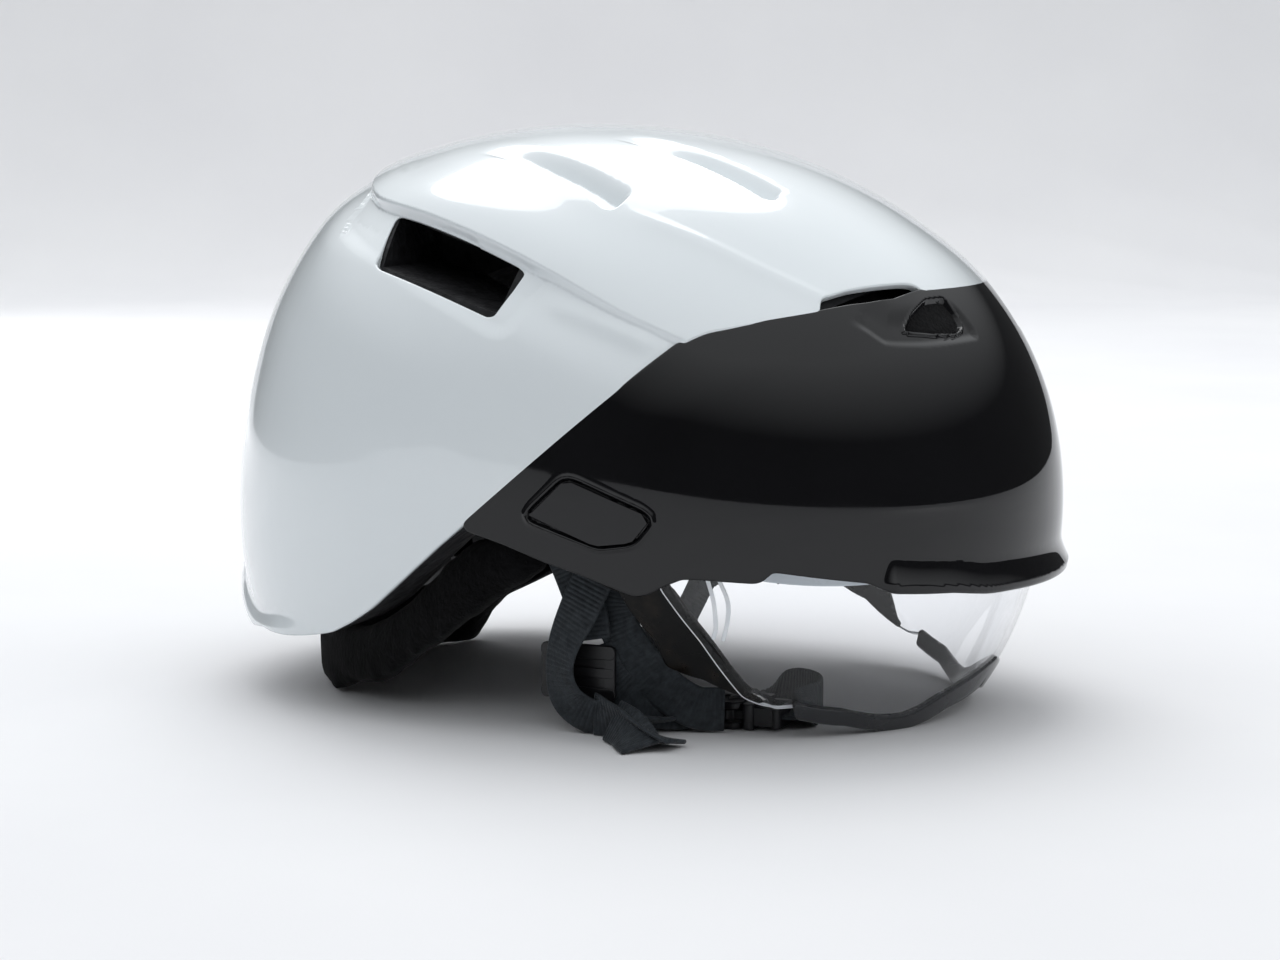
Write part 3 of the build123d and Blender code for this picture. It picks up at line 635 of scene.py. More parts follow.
def black_relief(p):
    q = right_hand(p)
    e, t = BROW_RIM.measure(q)
    height = 3.4 * np.clip((8.5 - np.abs(e)) / 7.5, 0, 1) ** 1.6 * (1 - ramp(t, 0.95, 1.0))
    b = BOSS_LINE.depth(q)
    height = height + 0.55 * np.exp(-((b + 1.3) / 0.8) ** 2) - 1.0 * np.exp(-((b - 0.2) / 0.6) ** 2)
    height = height + 0.5 * np.exp(-((b - 1.6) / 0.7) ** 2) - 1.1 * ramp(b, 2.2, 5.0)
    deep = SCOOP_LINE.depth(q)
    height = height - 2.3 * ramp(deep, -0.5, 1.8)
    g, gt = SCOOP_LOW.measure(q)
    shelf = ramp(g, -1.6, 1.8) * (1 - ramp(g, 5, 15)) * ramp(gt, 0, 0.12) * (1 - ramp(gt, 0.9, 1.0))
    return height - 1.2 * shelf * (1 - ramp(deep, -1.0, 0.0))


black_map = DomeMap(black_relief, lambda p: np.full(len(p), SHELL_T))
black_marks = np.concatenate([BROW_RIM.points, BOSS_LINE.points, SCOOP_LINE.points, SCOOP_LOW.points])
black_marks = np.concatenate([black_marks, black_marks * MIRROR])
black = patch("black_shell", black_map, unroll(black_loop), (), black_marks, reach=8.0)

# A matte black sheet in each scoop's pocket paints the dark reflection of its glossy floor.
dark_scoop_sheet_map = DomeMap(lambda p: np.full(len(p), -1.7), lambda p: np.full(len(p), 2.3))
dark_scoop_sheet_loop = shrink_on_skin(SCOOP_LINE.points, 0.7)
dark_scoop_sheets = {
    side: patch(f"scoop_painted_dark_{side}", dark_scoop_sheet_map, unroll(dark_scoop_sheet_loop * turn), coarse=1.6, rim=0.25)
    for side, turn in (("right", 1), ("left", MIRROR))
}

# --- Visor ---
LENS_TOP = 3.0
LENS_LOW = -55.6              # the lens's and the trim's lower edges in the middle
TRIM_LOW = -55.2
LENS_EDGE = [(127, -57.4), (123, -60.7), (118, -64.1), (113.3, -67.4), (109, -69.2), (104, -68.8),
             (95, -65.2), (83, -61.9)]
LENS_REAR = [(77.4, -62.4), (73, -61.3), (68.5, -58.8), (63.4, -49.2), (58.4, -39.5), (53, -31.5),
             (47.3, -22.6), (45, -12), (47, -2), (54, LENS_TOP)]
TRIM_H = 4.3


def symmetric(half):
    """A flat right-hand half line from middle to middle, closed by its mirror image."""
    return np.concatenate([half, (half * np.array([-1, 1]))[::-1][1:-1]])


def middle(turned_map, z):
    phi = math.asin((z - PIVOT[2]) / turned_map.a)
    return np.array([[0.0, phi * LENS_R]])


def near_line(uv, line):
    """Distance of flat points from a flat polyline."""
    a, d = line[:-1], np.diff(line, axis=0)
    best = np.full(len(uv), 1e9)
    for k in range(len(a)):
        t = np.clip(((uv - a[k]) @ d[k]) / (d[k] @ d[k]), 0, 1)
        best = np.minimum(best, np.linalg.norm(uv - a[k] - t[:, None] * d[k], axis=1))
    return best


plain_map = TurnedMap(0.0, LENS_T)
REAR_FLAT = plain_map.from_side(evenly(LENS_REAR[1:], 4.0))


def lens_relief(uv):
    """Two moulded ridges and a step that follow the lens's rear edge."""
    d = near_line(np.stack([-np.abs(uv[:, 0]), uv[:, 1]], 1), REAR_FLAT)
    upper = ramp(uv[:, 1], -52, -40)
    ridges_up = 1.3 * np.exp(-((d - 9.5) / 2.4) ** 2) + 0.9 * np.exp(-((d - 16.0) / 2.0) ** 2)
    return ridges_up * upper - 0.5 * (1 - ramp(d, 3.0, 6.0))


lens_map = TurnedMap(0.0, LENS_T, lens_relief)
top_line = np.array([(x, LENS_TOP) for x in (60, 75, 90, 105, 120, 130, 135)], float)
lens_half = np.concatenate([
    middle(lens_map, LENS_LOW), lens_map.from_side(evenly(LENS_EDGE + LENS_REAR, 1.5)),
    lens_map.from_side(top_line), middle(lens_map, LENS_TOP),
])
lens_loop = softened(symmetric(lens_half), 2.0, 1.0)
# The lens's rim takes a near-white painted highlight as its second material.
lens = patch("clear_visor", lens_map, lens_loop, coarse=1.5, rim=0.6, painted_edge_highlight=True)

trim_map = TurnedMap(-0.7, LENS_T + 1.4)
upper = np.concatenate([middle(trim_map, TRIM_LOW), trim_map.from_side(LENS_EDGE)])
lower_edge = [(x, z - TRIM_H) for x, z in LENS_EDGE]
lower = np.concatenate([trim_map.from_side(lower_edge[::-1]), middle(trim_map, TRIM_LOW - TRIM_H)])
trim_loop = softened(symmetric(np.concatenate([upper, lower])), 0.8, 0.5)
trim = patch("visor_trim", trim_map, trim_loop, coarse=1.6, rim=0.9, edge_step=0.6)

ARM = [(17, 4), (24, 10), (33, 9), (42, 2), (46, -12), (48.8, -22), (54.5, -31), (60, -39.2), (65, -48.8),
       (70, -57.8), (73, -60.5), (68, -58.5), (57, -52.5), (46, -48.4), (43, -39), (33, -24), (20, -14),
       (13, -8)]
BORE_R = 3.2                  # the arm's hole for its pivot pin
arm_map = TurnedMap(LENS_T, ARM_T)
RIDGE = [(77.5, -18.6), (80.4, -16.0), (84, -12.5), (108, -16.5), (113.6, -19.8), (108, -20.6), (84, -19.6)]
ridge_map = TurnedMap(-1.3, 1.3)
# Thin near-white strips on the lens's moulded bends: painted highlights of the light on those bends.
HIGHLIGHT_STRIPS = [[(61.8, -17.6), (63.5, -25.9), (63.6, -34.2), (62.5, -38.3)],
         [(65.1, -17.8), (67.7, -25.7), (67.3, -32.1), (65.4, -38.8)]]
HIGHLIGHT_STRIP_HALF = 0.42
highlight_strip_map = TurnedMap(-0.45, 0.6)
arms, ridges, highlight_strips = {}, {}, {}
for side, sign in (("left", 1), ("right", -1)):
    flip = np.array([-sign, 1])
    hole = arm_map.from_side([(PIVOT[0] + BORE_R * math.cos(a), PIVOT[2] + BORE_R * math.sin(a))
                              for a in np.linspace(0, 2 * math.pi, 24, endpoint=False)])
    arm_loop = softened(arm_map.from_side(ARM), 2.0, 0.8)
    arms[side] = patch(f"arm_{side}", arm_map, arm_loop * flip, [hole * flip], coarse=2.0, rim=0.8,
                       edge_step=0.8)
    ridge_loop = softened(ridge_map.from_side(RIDGE), 0.8, 0.5)
    ridges[side] = patch(f"ridge_{side}", ridge_map, ridge_loop * flip, coarse=1.2, rim=0.5, edge_step=0.6)
    # Each strip is a painted highlight along one bend of the lens.
    for k, line in enumerate(HIGHLIGHT_STRIPS):
        run = smooth_line(line, 1.0)
        bead = np.concatenate([run + [HIGHLIGHT_STRIP_HALF, 0], (run - [HIGHLIGHT_STRIP_HALF, 0])[::-1]])
        highlight_strip_loop = softened(highlight_strip_map.from_side(bead), 0.3, 0.3)
        highlight_strips[side, k] = patch(f"lens_highlight_strip_{side}_{k}", highlight_strip_map, highlight_strip_loop * flip, coarse=0.8, fine=0.5,
                               rim=0.25, edge_step=0.5)


# --- Webbing: ribbed ribbons, in row-frame millimetres ---
RIB_PITCH = 1.5
RIB_H = 0.34
ACROSS_COUNT = 22             # points across one face
TABLE_GAP = 0.3               # the webbing lies this far above the table


def ribbon(name, stations):
    """Ribbed webbing through stations of a point and the direction of its width."""
    rows = np.array(stations, float)
    rows[:, 3:] = 4 * unit(rows[:, 3:])
    line = smooth_line(rows, RIB_PITCH / 6)
    mid, wide = line[:, :3], unit(line[:, 3:])
    along = unit(np.gradient(mid, axis=0))
    wide = unit(wide - (wide * along).sum(1, keepdims=True) * along)
    face = np.cross(along, wide)
    run = np.concatenate([[0], np.cumsum(np.linalg.norm(np.diff(mid, axis=0), axis=1))])
    groove = np.abs(np.sin(math.pi * run / RIB_PITCH)) ** 0.6
    shares = np.sin(np.linspace(-math.pi / 2, math.pi / 2, ACROSS_COUNT))
    verts = []
    for side in (1, -1):
        for w in shares[::side] if side == 1 else shares[::-1]:
            edge = (1 - abs(w) ** 8) ** 0.5 if abs(w) < 1 else 0.0
            bead = 0.16 * math.exp(-((abs(w) - 0.9) / 0.05) ** 2)
            off = WEB_T / 2 * edge + (RIB_H * (groove - 1) * (1 - abs(w) ** 12) + bead) * edge
            verts.append(mid + wide * (w * WEB_W / 2) + face * (side * off)[:, None])
    ring = len(verts)
    count = len(mid)
    rings = np.stack(verts, axis=1)
    rings[:, :, 2] += np.maximum(TABLE_GAP - rings[:, :, 2].min(axis=1), 0)[:, None]
    pts = rings.reshape(-1, 3)
    faces = []
    for i in range(count - 1):
        for k in range(ring):
            a, b = i * ring + k, i * ring + (k + 1) % ring
            faces.append((a, a + ring, b + ring, b))
    faces.append(tuple(range(ring)))
    faces.append(tuple(reversed(range((count - 1) * ring, count * ring))))
    obj = mesh_object(name, pts / 1000, faces)
    return tidy_mesh(obj)


def tidy_mesh(obj, merge=1e-6):
    """Joins doubled points and turns every face outwards."""
    bm = bmesh.new()
    bm.from_mesh(obj.data)
    bmesh.ops.remove_doubles(bm, verts=bm.verts, dist=merge)
    bmesh.ops.recalc_face_normals(bm, faces=bm.faces)
    bm.to_mesh(obj.data)
    bm.free()
    smooth_faces(obj.data)
    obj.data.update()
    return obj


# each row: a point on the middle line and the direction of the width there
REAR_RIGHT = [
    (19.5, -82, 66, 0.97, 0, -0.1), (19, -83.8, 55, 0.98, 0, -0.15), (14, -85.8, 42, 0.94, -0.1, -0.34),
    (8.8, -87, 30, 0.88, -0.4, -0.15), (7.4, -87, 20, 0.84, -0.45, 0.2), (10, -85.4, 11, 0.75, -0.3, 0.6),
    (17.5, -83.6, 6, 0.4, -0.35, 0.85), (28, -82, 4.6, 0.1, -0.65, 0.75),
]
FRONT_RIGHT = [
    (27, -80.5, 67, 1, 0, 0), (24, -79.8, 53, 0.98, 0, 0.1), (22.5, -79.5, 41, 0.95, 0, 0.25),
    (27.7, -78, 28.8, 0.84, 0.1, 0.55), (33.6, -75, 20.3, 0.72, 0.1, 0.7),
    (39.7, -71.5, 13.3, 0.65, 0.15, 0.75), (46.5, -67.5, 8.6, 0.45, 0.25, 0.87),
    (54, -62, 7.5, 0.1, 0.45, 0.9),
]
INNER_RIGHT = [
    (16, -79.4, 28, 0.85, 0, 0.5), (20.5, -78.6, 18.5, 0.65, 0, 0.75), (26, -76.5, 12.5, 0.5, 0.1, 0.85),
    (33, -73, 9, 0.35, 0.2, 0.9), (40, -67, 7.8, 0.2, 0.35, 0.9), (45, -61, 7.6, 0.1, 0.5, 0.9),
]
BACK_RIGHT = [
    (3, -80.5, 64, 0.9, 0, 0.35), (8.5, -81, 54.6, 0.88, 0, 0.45), (14.5, -82, 41, 0.93, 0, 0.3),
    (16.5, -82.6, 31, 0.98, 0, 0.1),
]
LOWER_RIGHT = [
    (19, -83, 5.6, 0.4, -0.5, 0.75), (27, -79, 4.6, 0.35, -0.8, 0.5), (34, -71, 3.6, 0.6, -0.75, 0.3),
    (34.5, -61, 2.6, 0.97, -0.1, 0.15), (34, -52.5, 3.4, 0.7, 0.7, 0.05), (41.5, -47.2, 4.4, 0.05, 1, 0),
]
TAIL_RIGHT = [
    (18, -83.5, 6.6, 0.3, -0.1, 0.95), (27, -86.5, 6.2, 0.25, -0.55, 0.8), (36, -90, 4.8, 0.35, -0.8, 0.5),
    (44, -92.5, 3.6, 0.3, -0.9, 0.3), (50, -93.5, 3, 0.2, -0.95, 0.15),
]
TAIL_TIP = [
    (26, -87.6, 5.2, 0.75, -0.2, 0.6), (32, -92.6, 4.4, 0.85, -0.2, 0.45),
    (38, -97.6, 2.6, 0.9, 0.1, 0.25), (42, -101.6, 1.2, 0.92, 0.3, 0.1),
]
REAR_LEFT = [
    (19.5, 82, 66, 0.97, 0, -0.1), (18.5, 83.6, 55, 0.98, 0.05, -0.15), (14, 84, 45, 0.94, 0, -0.3),
    (10.5, 82.5, 35, 0.95, 0, -0.2), (9, 78.5, 29.5, 0.97, 0.1, 0.1), (8, 73, 29, 0.95, 0.25, 0.3),
]
FRONT_LEFT = [
    (33, 81, 67, 1, 0, 0), (34.5, 79.5, 55, 1, 0, 0), (34, 76.5, 44, 1, 0, 0.1),
    (30, 73.5, 36, 0.8, 0, 0.6), (20, 72, 32, 0.3, 0.1, 0.95),
]
CHIN = [
    (66.5, -47, 4.6, 0, 1, 0), (71.5, -46.8, 5, 0, 1, 0.15), (75.2, -44.5, 6.6, -0.2, 0.7, 0.7),
    (77, -37, 7.3, 0, 0.15, 1), (74, -27, 7.6, 0, 0, 1), (66, -19.5, 7.2, 0.05, 0.1, 1),
    (57.5, -15.8, 5, 0.1, 0.5, 0.8), (49, -14.8, 2, 0, 1, 0.2), (34, -16, 1.4, 0, 1, 0),
    (17, -13, 1.9, 0.2, 1, 0.15), (3, -6, 4, 0.6, 0.5, 0.7), (-7, 11, 8.2, 0.2, 0, 1),
    (-11, 28, 9.3, 0, -0.1, 1), (-8, 47.5, 11, -0.1, -0.1, 1), (-5, 52, 17, -0.1, -0.6, 0.8),
    (-0.5, 57.5, 29, -0.1, -0.6, 0.8), (3, 62, 38, 0, -0.4, 0.9),
]

BACK_LEFT = [(x, -y, z, a, -b, c) for x, y, z, a, b, c in BACK_RIGHT]
WEBS = [
    ("web_rear_right", REAR_RIGHT, ["rear_strap_right"]),
    ("web_front_right", FRONT_RIGHT, ["front_strap_right"]),
    ("web_lower_right", LOWER_RIGHT, ["lower_strap_right"]),
    ("web_tail_right", TAIL_RIGHT, []), ("web_tip_right", TAIL_TIP, []),
    ("web_inner_right", INNER_RIGHT, []), ("web_back_right", BACK_RIGHT, []),
    ("web_back_left", BACK_LEFT, []),
    ("web_rear_left", REAR_LEFT, ["rear_strap_left"]),
    ("web_front_left", FRONT_LEFT, ["front_strap_left"]),
]
webs = [(ribbon(name, stations), stands_for) for name, stations, stands_for in WEBS]
chin = ribbon("web_chin", CHIN)


# --- Plates with softened edges, for the buckle and the strap locks ---
def plate(outline, low, high, bevel=0.5, steps=3):
    """A bmesh solid from a plan outline between two heights, its edges rounded."""
    bm = bmesh.new()
    ring = [bm.verts.new((x, y, low)) for x, y in outline]
    base = bm.faces.new(ring)
    moved = bmesh.ops.extrude_face_region(bm, geom=[base])["geom"]
    for v in moved:
        if isinstance(v, bmesh.types.BMVert):
            v.co.z = high
    bmesh.ops.recalc_face_normals(bm, faces=bm.faces)
    bmesh.ops.bevel(bm, geom=bm.edges[:], offset=bevel, segments=steps, profile=0.5, affect="EDGES",
                    clamp_overlap=True)
    return bm


def joined(name, solids, turn=None):
    """One object from several bmesh solids, in millimetres, optionally placed by a matrix."""
    mesh = bpy.data.meshes.new(name)
    whole = bmesh.new()
    for bm in solids:
        piece = bpy.data.meshes.new("part")
        bm.to_mesh(piece)
        bm.free()
        whole.from_mesh(piece)
        bpy.data.meshes.remove(piece)
    if turn is not None:
        whole.transform(turn)
    whole.transform(Matrix.Scale(0.001, 4))
    whole.to_mesh(mesh)
    whole.free()
    smooth_faces(mesh)
    obj = add_object(name, mesh)
    smooth = obj.modifiers.new("edges", "WEIGHTED_NORMAL")
    smooth.keep_sharp = False
    return obj


def rounded(x0, x1, y0, y1, r=2.0, count=5):
    """Plan outline of a rounded rectangle."""
    out = []
    corners = ((x1 - r, y1 - r, 0), (x0 + r, y1 - r, 90), (x0 + r, y0 + r, 180), (x1 - r, y0 + r, 270))
    for cx, cy, start in corners:
        for k in range(count):
            a = math.radians(start + 90 * k / (count - 1))
            out.append((cx + r * math.cos(a), cy + r * math.sin(a)))
    return out


def slab(x0, x1, half, radius, low, high, bevel):
    """A rounded plate across the buckle, reaching half to each side of its middle line."""
    return plate(rounded(x0, x1, BUCKLE_Y - half, BUCKLE_Y + half, radius), low, high, bevel)


BUCKLE_Y = -47.0
BUCKLE_HALF = 11.0
LOCK_Y = 79.4                 # the strap locks' back faces
socket_solids = [
    slab(39.0, 58.0, BUCKLE_HALF, 3.0, 6.6, 9.0, 0.7),
    slab(39.0, 58.0, BUCKLE_HALF, 3.0, 0.2, 2.4, 0.7),
    slab(39.4, 41.2, 9.6, 0.8, 1.6, 7.4, 0.3),
    slab(43.6, 47.0, 9.0, 1.0, 1.6, 7.4, 0.4),
    plate([(x, BUCKLE_Y + y) for x, y in ((44.5, -1.6), (51.5, -1.6), (51.5, -5.2), (56.4, 0.0),
                                          (51.5, 5.2), (51.5, 1.6), (44.5, 1.6))], 8.6, 9.6, 0.3),
]
plug_solids = [
    slab(58.3, 62.3, BUCKLE_HALF, 1.6, 0.4, 8.8, 0.8),
    slab(68.4, 71.0, 10.4, 1.2, 1.4, 7.8, 0.8),
]
PRONG = [(48.4, 0.0), (50.0, 3.4), (53.0, 3.0), (54.4, 1.4), (59.5, 1.4), (59.5, -1.2), (50.5, -1.2)]
for edge in (1, -1):
    y0, y1 = sorted(BUCKLE_Y + edge * y for y in (7.4, 9.6))
    plug_solids.append(plate(rounded(60.3, 70.0, y0, y1, 0.9), 1.6, 7.6, 0.5))
    plug_solids.append(plate([(x, BUCKLE_Y + edge * (6.5 + y)) for x, y in PRONG], 2.8, 6.2, 0.4))
plug_solids.append(slab(48.6, 60.0, 1.4, 0.8, 3.0, 6.0, 0.4))
socket_piece = joined("buckle_body", socket_solids)
plug_piece = joined("buckle_prongs", plug_solids)
locks, levers = {}, {}
for side, sign in (("left", 1), ("right", -1)):
    low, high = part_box(f"strap_lock_{side}")
    x0, x1, z0, z1 = low.x * 1000, high.x * 1000, low.z * 1000, high.z * 1000
    upright = Matrix(((1, 0, 0, 0), (0, 0, sign, sign * LOCK_Y), (0, 1, 0, 0), (0, 0, 0, 1)))
    middle_z = (z0 + z1) / 2
    bars = [
        (x0, x1, z0, z0 + 4.2, 1.8, 0, 1.8, 0.6), (x0, x1, z1 - 4.6, z1, 1.8, 0, 1.8, 0.6),
        (x0 + 0.3, x1 - 0.3, middle_z - 1.6, middle_z + 1.6, 1.2, 0.2, 1.7, 0.5),
        (x0 + 0.2, x0 + 3.6, z0 + 0.3, z1 - 0.3, 1.6, 0.1, 1.6, 0.5),
        (x1 - 3.6, x1 - 0.2, z0 + 0.3, z1 - 0.3, 1.6, 0.1, 1.6, 0.5),
        (x0 + 0.7, x1 - 0.7, z0 + 0.7, z1 - 0.7, 2.0, 0.35, 1.1, 0.2),
        (x0 + 0.5, x0 + 3.5, z1 - 7, z1 - 1, 1.4, -5.8, 0.4, 0.5),
        (x1 - 3.5, x1 - 0.5, z1 - 7, z1 - 1, 1.4, -5.8, 0.4, 0.5),
    ]
    frame_bars = [plate(rounded(*bar[:5]), *bar[5:]) for bar in bars]
    locks[side] = joined(f"lock_frame_{side}", frame_bars, upright)
    low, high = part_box(f"lock_lever_{side}")
    x0, x1, z0 = low.x * 1000 + 3.5, high.x * 1000 - 3.5, low.z * 1000
    hinge = high.z * 1000 - 1.5
    hinge_bar = plate(rounded(low.x * 1000, high.x * 1000, hinge - 1.4, hinge + 1.4, 1.3), -4.4, -1.6, 1.2)
    flap = plate(rounded(x0, x1, z0, hinge + 1.0, 3.0), -4.1, -1.7, 0.8)
    levers[side] = joined(f"lock_flap_{side}", [hinge_bar, flap], upright)


# --- Soft pieces: the CAD solid's shape, swollen by cloth simulation ---
def remeshed(node, name, voxel, shrink):
    """A copy of a CAD node with an even mesh, moved inwards by shrink."""
    obj = add_object(name, nodes[node].data.copy())
    obj.data.materials.clear()
    tidy_mesh(obj, 1e-5)
    mod = obj.modifiers.new("even", "REMESH")
    mod.mode = "VOXEL"
    mod.voxel_size = voxel
    apply_all(obj)
    move = obj.modifiers.new("inwards", "DISPLACE")
    move.strength = -shrink
    move.mid_level = 0.0
    apply_all(obj)
    return obj


def apply_all(obj):
    """Puts what the modifiers make into the mesh."""
    view = bpy.context.evaluated_depsgraph_get()
    made = bpy.data.meshes.new_from_object(obj.evaluated_get(view))
    old = obj.data
    obj.modifiers.clear()
    obj.data = made
    bpy.data.meshes.remove(old)


def positions(obj):
    co = np.empty(len(obj.data.vertices) * 3)
    obj.data.vertices.foreach_get("co", co)
    return co.reshape(-1, 3)


def swell(obj, pressure, cap):
    """Inflates a closed fabric piece, each point moving at most cap."""
    start = positions(obj)
    cloth = obj.modifiers.new("cloth", "CLOTH")
    cloth.settings.quality = 6
    cloth.settings.mass = 0.25
    cloth.settings.use_pressure = True
    cloth.settings.uniform_pressure_force = pressure
    cloth.settings.tension_stiffness = 12
    cloth.settings.bending_stiffness = 0.8
    cloth.settings.effector_weights.gravity = 0
    cloth.collision_settings.use_collision = False
    scene = bpy.context.scene
    for step in range(1, CLOTH_FRAMES + 1):
        scene.frame_set(step)
        bpy.context.view_layer.update()
    apply_all(obj)
    scene.frame_set(1)
    moved = positions(obj) - start
    length = np.linalg.norm(moved, axis=1, keepdims=True)
    limited = start + moved * np.minimum(1, cap / np.maximum(length, 1e-9))
    obj.data.vertices.foreach_set("co", limited.ravel())


CLOTH_FRAMES = 20
NECK_FREE, NECK_REACH = -0.02, 0.25     # the roll's ends are drawn out under the front shell


def soft_piece(node, name, voxel, shrink, pressure, cap, lumps=0.0, rounding=0):
    """A padded piece from its CAD solid, all lengths in metres."""
    obj = remeshed(node, name, voxel, shrink)
    if rounding:
        mod = obj.modifiers.new("round", "SMOOTH")
        mod.factor, mod.iterations = 0.5, rounding
        apply_all(obj)
    swell(obj, pressure, cap)
    fine = obj.modifiers.new("fine", "SUBSURF")
    fine.levels = fine.render_levels = 1
    apply_all(obj)
    smooth_faces(obj.data)
    if lumps:
        for v in obj.data.vertices:
            v.co += v.normal * lumps * (noise.noise(v.co * 60) + 0.5 * noise.noise(v.co * 170))
    obj.data.update()
    return obj


# the roll's lower line, its top line and how far it is tucked up on the left, over x in mm
ROLL_LOW = [(-88, 0), (-80, 4), (-62, 8), (-48, 18), (-30, 29.5), (2, 54)]
ROLL_TOP = [(-106, 25), (-81, 25.7), (-71, 28), (-62, 32.5), (-53, 38), (-41, 48), (-26, 61), (2, 66)]
ROLL_TUCK = [(-91, 0), (-88, 4), (-86, 8.3), (-82, 11.8), (-65, 17.7), (-51, 14.3), (-30, 5.5), (-14, 0)]


def shape_roll(obj):
    """Draws the neck roll's ends out and tucks up its left side, all inside its CAD solid but the ends."""
    for v in obj.data.vertices:
        low, top, tuck = (np.interp(v.co.x * 1000, *zip(*line)) for line in (ROLL_LOW, ROLL_TOP, ROLL_TUCK))
        if v.co.y > 0:
            v.co.z += 0.001 * tuck * (1 - min(max((v.co.z * 1000 - low) / (top - low), 0), 1))
        v.co.x += NECK_REACH * max(v.co.x - NECK_FREE, 0)


neck = soft_piece("neck_pad", "neck_roll", 0.004, 0.0004, 5.0, 0.0045, 0.0006, 6)
shape_roll(neck)
pads = {name: soft_piece(name, f"soft_{name}", 0.004, 0.001, 3.0, 0.002)
        for name in ("brow_pad", "crown_pad", "side_pad_left", "side_pad_right")}

# --- Materials ---
class Look:
    """A Principled material with procedural colour, roughness and bump."""

    def __init__(self, name, **values):
        self.mat = bpy.data.materials.new(name)
        self.mat.use_nodes = True
        self.tree = self.mat.node_tree
        self.shader = self.tree.nodes["Principled BSDF"]
        self.coords = self.tree.nodes.new("ShaderNodeTexCoord")
        self.height = None
        for key, value in values.items():
            socket = self.shader.inputs[key.replace("_", " ")]
            socket.default_value = (*value, 1.0) if hasattr(value, "__len__") else value

    def node(self, kind, **values):
        n = self.tree.nodes.new(kind)
        for key, value in values.items():
            if hasattr(n, key):
                setattr(n, key, value)
            else:
                n.inputs[key].default_value = value
        return n

    def link(self, a, b):
        self.tree.links.new(a, b)

    def noise(self, scale, detail=3.0, rough=0.5):
        n = self.node("ShaderNodeTexNoise", Scale=scale, Detail=detail, Roughness=rough)
        self.link(self.coords.outputs["Object"], n.inputs["Vector"])
        return n.outputs["Fac"]

    def cells(self, scale):
        n = self.node("ShaderNodeTexVoronoi", Scale=scale)
        self.link(self.coords.outputs["Object"], n.inputs["Vector"])
        return n.outputs["Distance"]

    def remap(self, socket, low, high, start=0.0, end=1.0):
        ends = {"From Min": start, "From Max": end, "To Min": low, "To Max": high}
        n = self.node("ShaderNodeMapRange", **ends)
        self.link(socket, n.inputs["Value"])
        return n.outputs["Result"]

    def colour(self, socket, first, second, start=0.3, end=0.7):
        out = self.tree.nodes.new("ShaderNodeMix")
        out.data_type = "RGBA"
        out.inputs[6].default_value = (*first, 1)
        out.inputs[7].default_value = (*second, 1)
        self.link(self.remap(socket, 0, 1, start, end), out.inputs[0])
        self.link(out.outputs[2], self.shader.inputs["Base Color"])
        return self

    def roughness(self, socket, low, high, start=0.3, end=0.7):
        self.link(self.remap(socket, low, high, start, end), self.shader.inputs["Roughness"])
        return self

    def bump(self, socket, distance, strength=1.0):
        n = self.node("ShaderNodeBump", Strength=strength, Distance=distance)
        self.link(socket, n.inputs["Height"])
        if self.height is not None:
            self.link(self.height, n.inputs["Normal"])
        self.height = n.outputs["Normal"]
        self.link(self.height, self.shader.inputs["Normal"])
        return self


def make_look(name, tint, rough, *bumps, **values):
    """A look with its colour, roughness and bumps each led by noise(), or by cells() for one number."""
    look = Look(name, **values)
    look.colour(look.noise(*tint[0]), *tint[1:])
    look.roughness(look.noise(*rough[0]), *rough[1:])
    for pattern, *depth in bumps:
        look.bump(look.noise(*pattern) if len(pattern) > 1 else look.cells(*pattern), *depth)
    return look


white_look = make_look(
    "white_gloss", [(9, 4), (0.80, 0.85, 0.875), (0.82, 0.87, 0.89)], [(60, 4), 0.16, 0.24],
    [(420, 2), 0.00001, 0.25], Specular_IOR_Level=0.5, Coat_Weight=1.0, Coat_Roughness=0.03, IOR=1.5
)
black_look = make_look(
    "piano_black", [(14, 4), (0.0035, 0.0035, 0.004), (0.006, 0.006, 0.007)], [(35, 5), 0.02, 0.055],
    [(380, 2), 0.00001, 0.2], Specular_IOR_Level=0.45, Coat_Weight=0.1, Coat_Roughness=0.02, IOR=1.45
)
arm_look = make_look(
    "smoked_black", [(90, 5, 0.6), (0.001, 0.001, 0.001), (0.018, 0.013, 0.009), 0.5, 0.75],
    [(70, 5), 0.12, 0.4], [(200, 3), 0.00006, 0.5],
    Specular_IOR_Level=0.2, Coat_Weight=0.0, Coat_Roughness=0.08, IOR=1.5
)
trim_look = make_look(
    "satin_black", [(40, 4), (0.009, 0.010, 0.013), (0.013, 0.014, 0.018)], [(80, 4), 0.18, 0.32],
    [(900, 2), 0.00001, 0.15], Specular_IOR_Level=0.5, Coat_Weight=0.3, Coat_Roughness=0.12, IOR=1.5
)
foam_look = make_look(
    "bead_foam", [(160, 3), (0.006, 0.006, 0.007), (0.022, 0.022, 0.024)], [(90, 3), 0.55, 0.8],
    [(330,), 0.0006, 0.9], [(900, 3), 0.0002, 0.5], Specular_IOR_Level=0.3
)
fleece_look = make_look(
    "fleece", [(380, 6, 0.7), (0.002, 0.002, 0.002), (0.007, 0.007, 0.008)], [(60, 3), 0.85, 1.0],
    [(650, 6, 0.7), 0.0009, 0.9], Specular_IOR_Level=0.05, Sheen_Weight=0.06, Sheen_Roughness=0.5
)
pad_look = make_look(
    "brushed_knit", [(300, 5), (0.010, 0.010, 0.012), (0.030, 0.030, 0.034)], [(60, 3), 0.8, 1.0],
    [(900,), 0.0004, 0.8], Specular_IOR_Level=0.1, Sheen_Weight=0.08, Sheen_Roughness=0.5
)
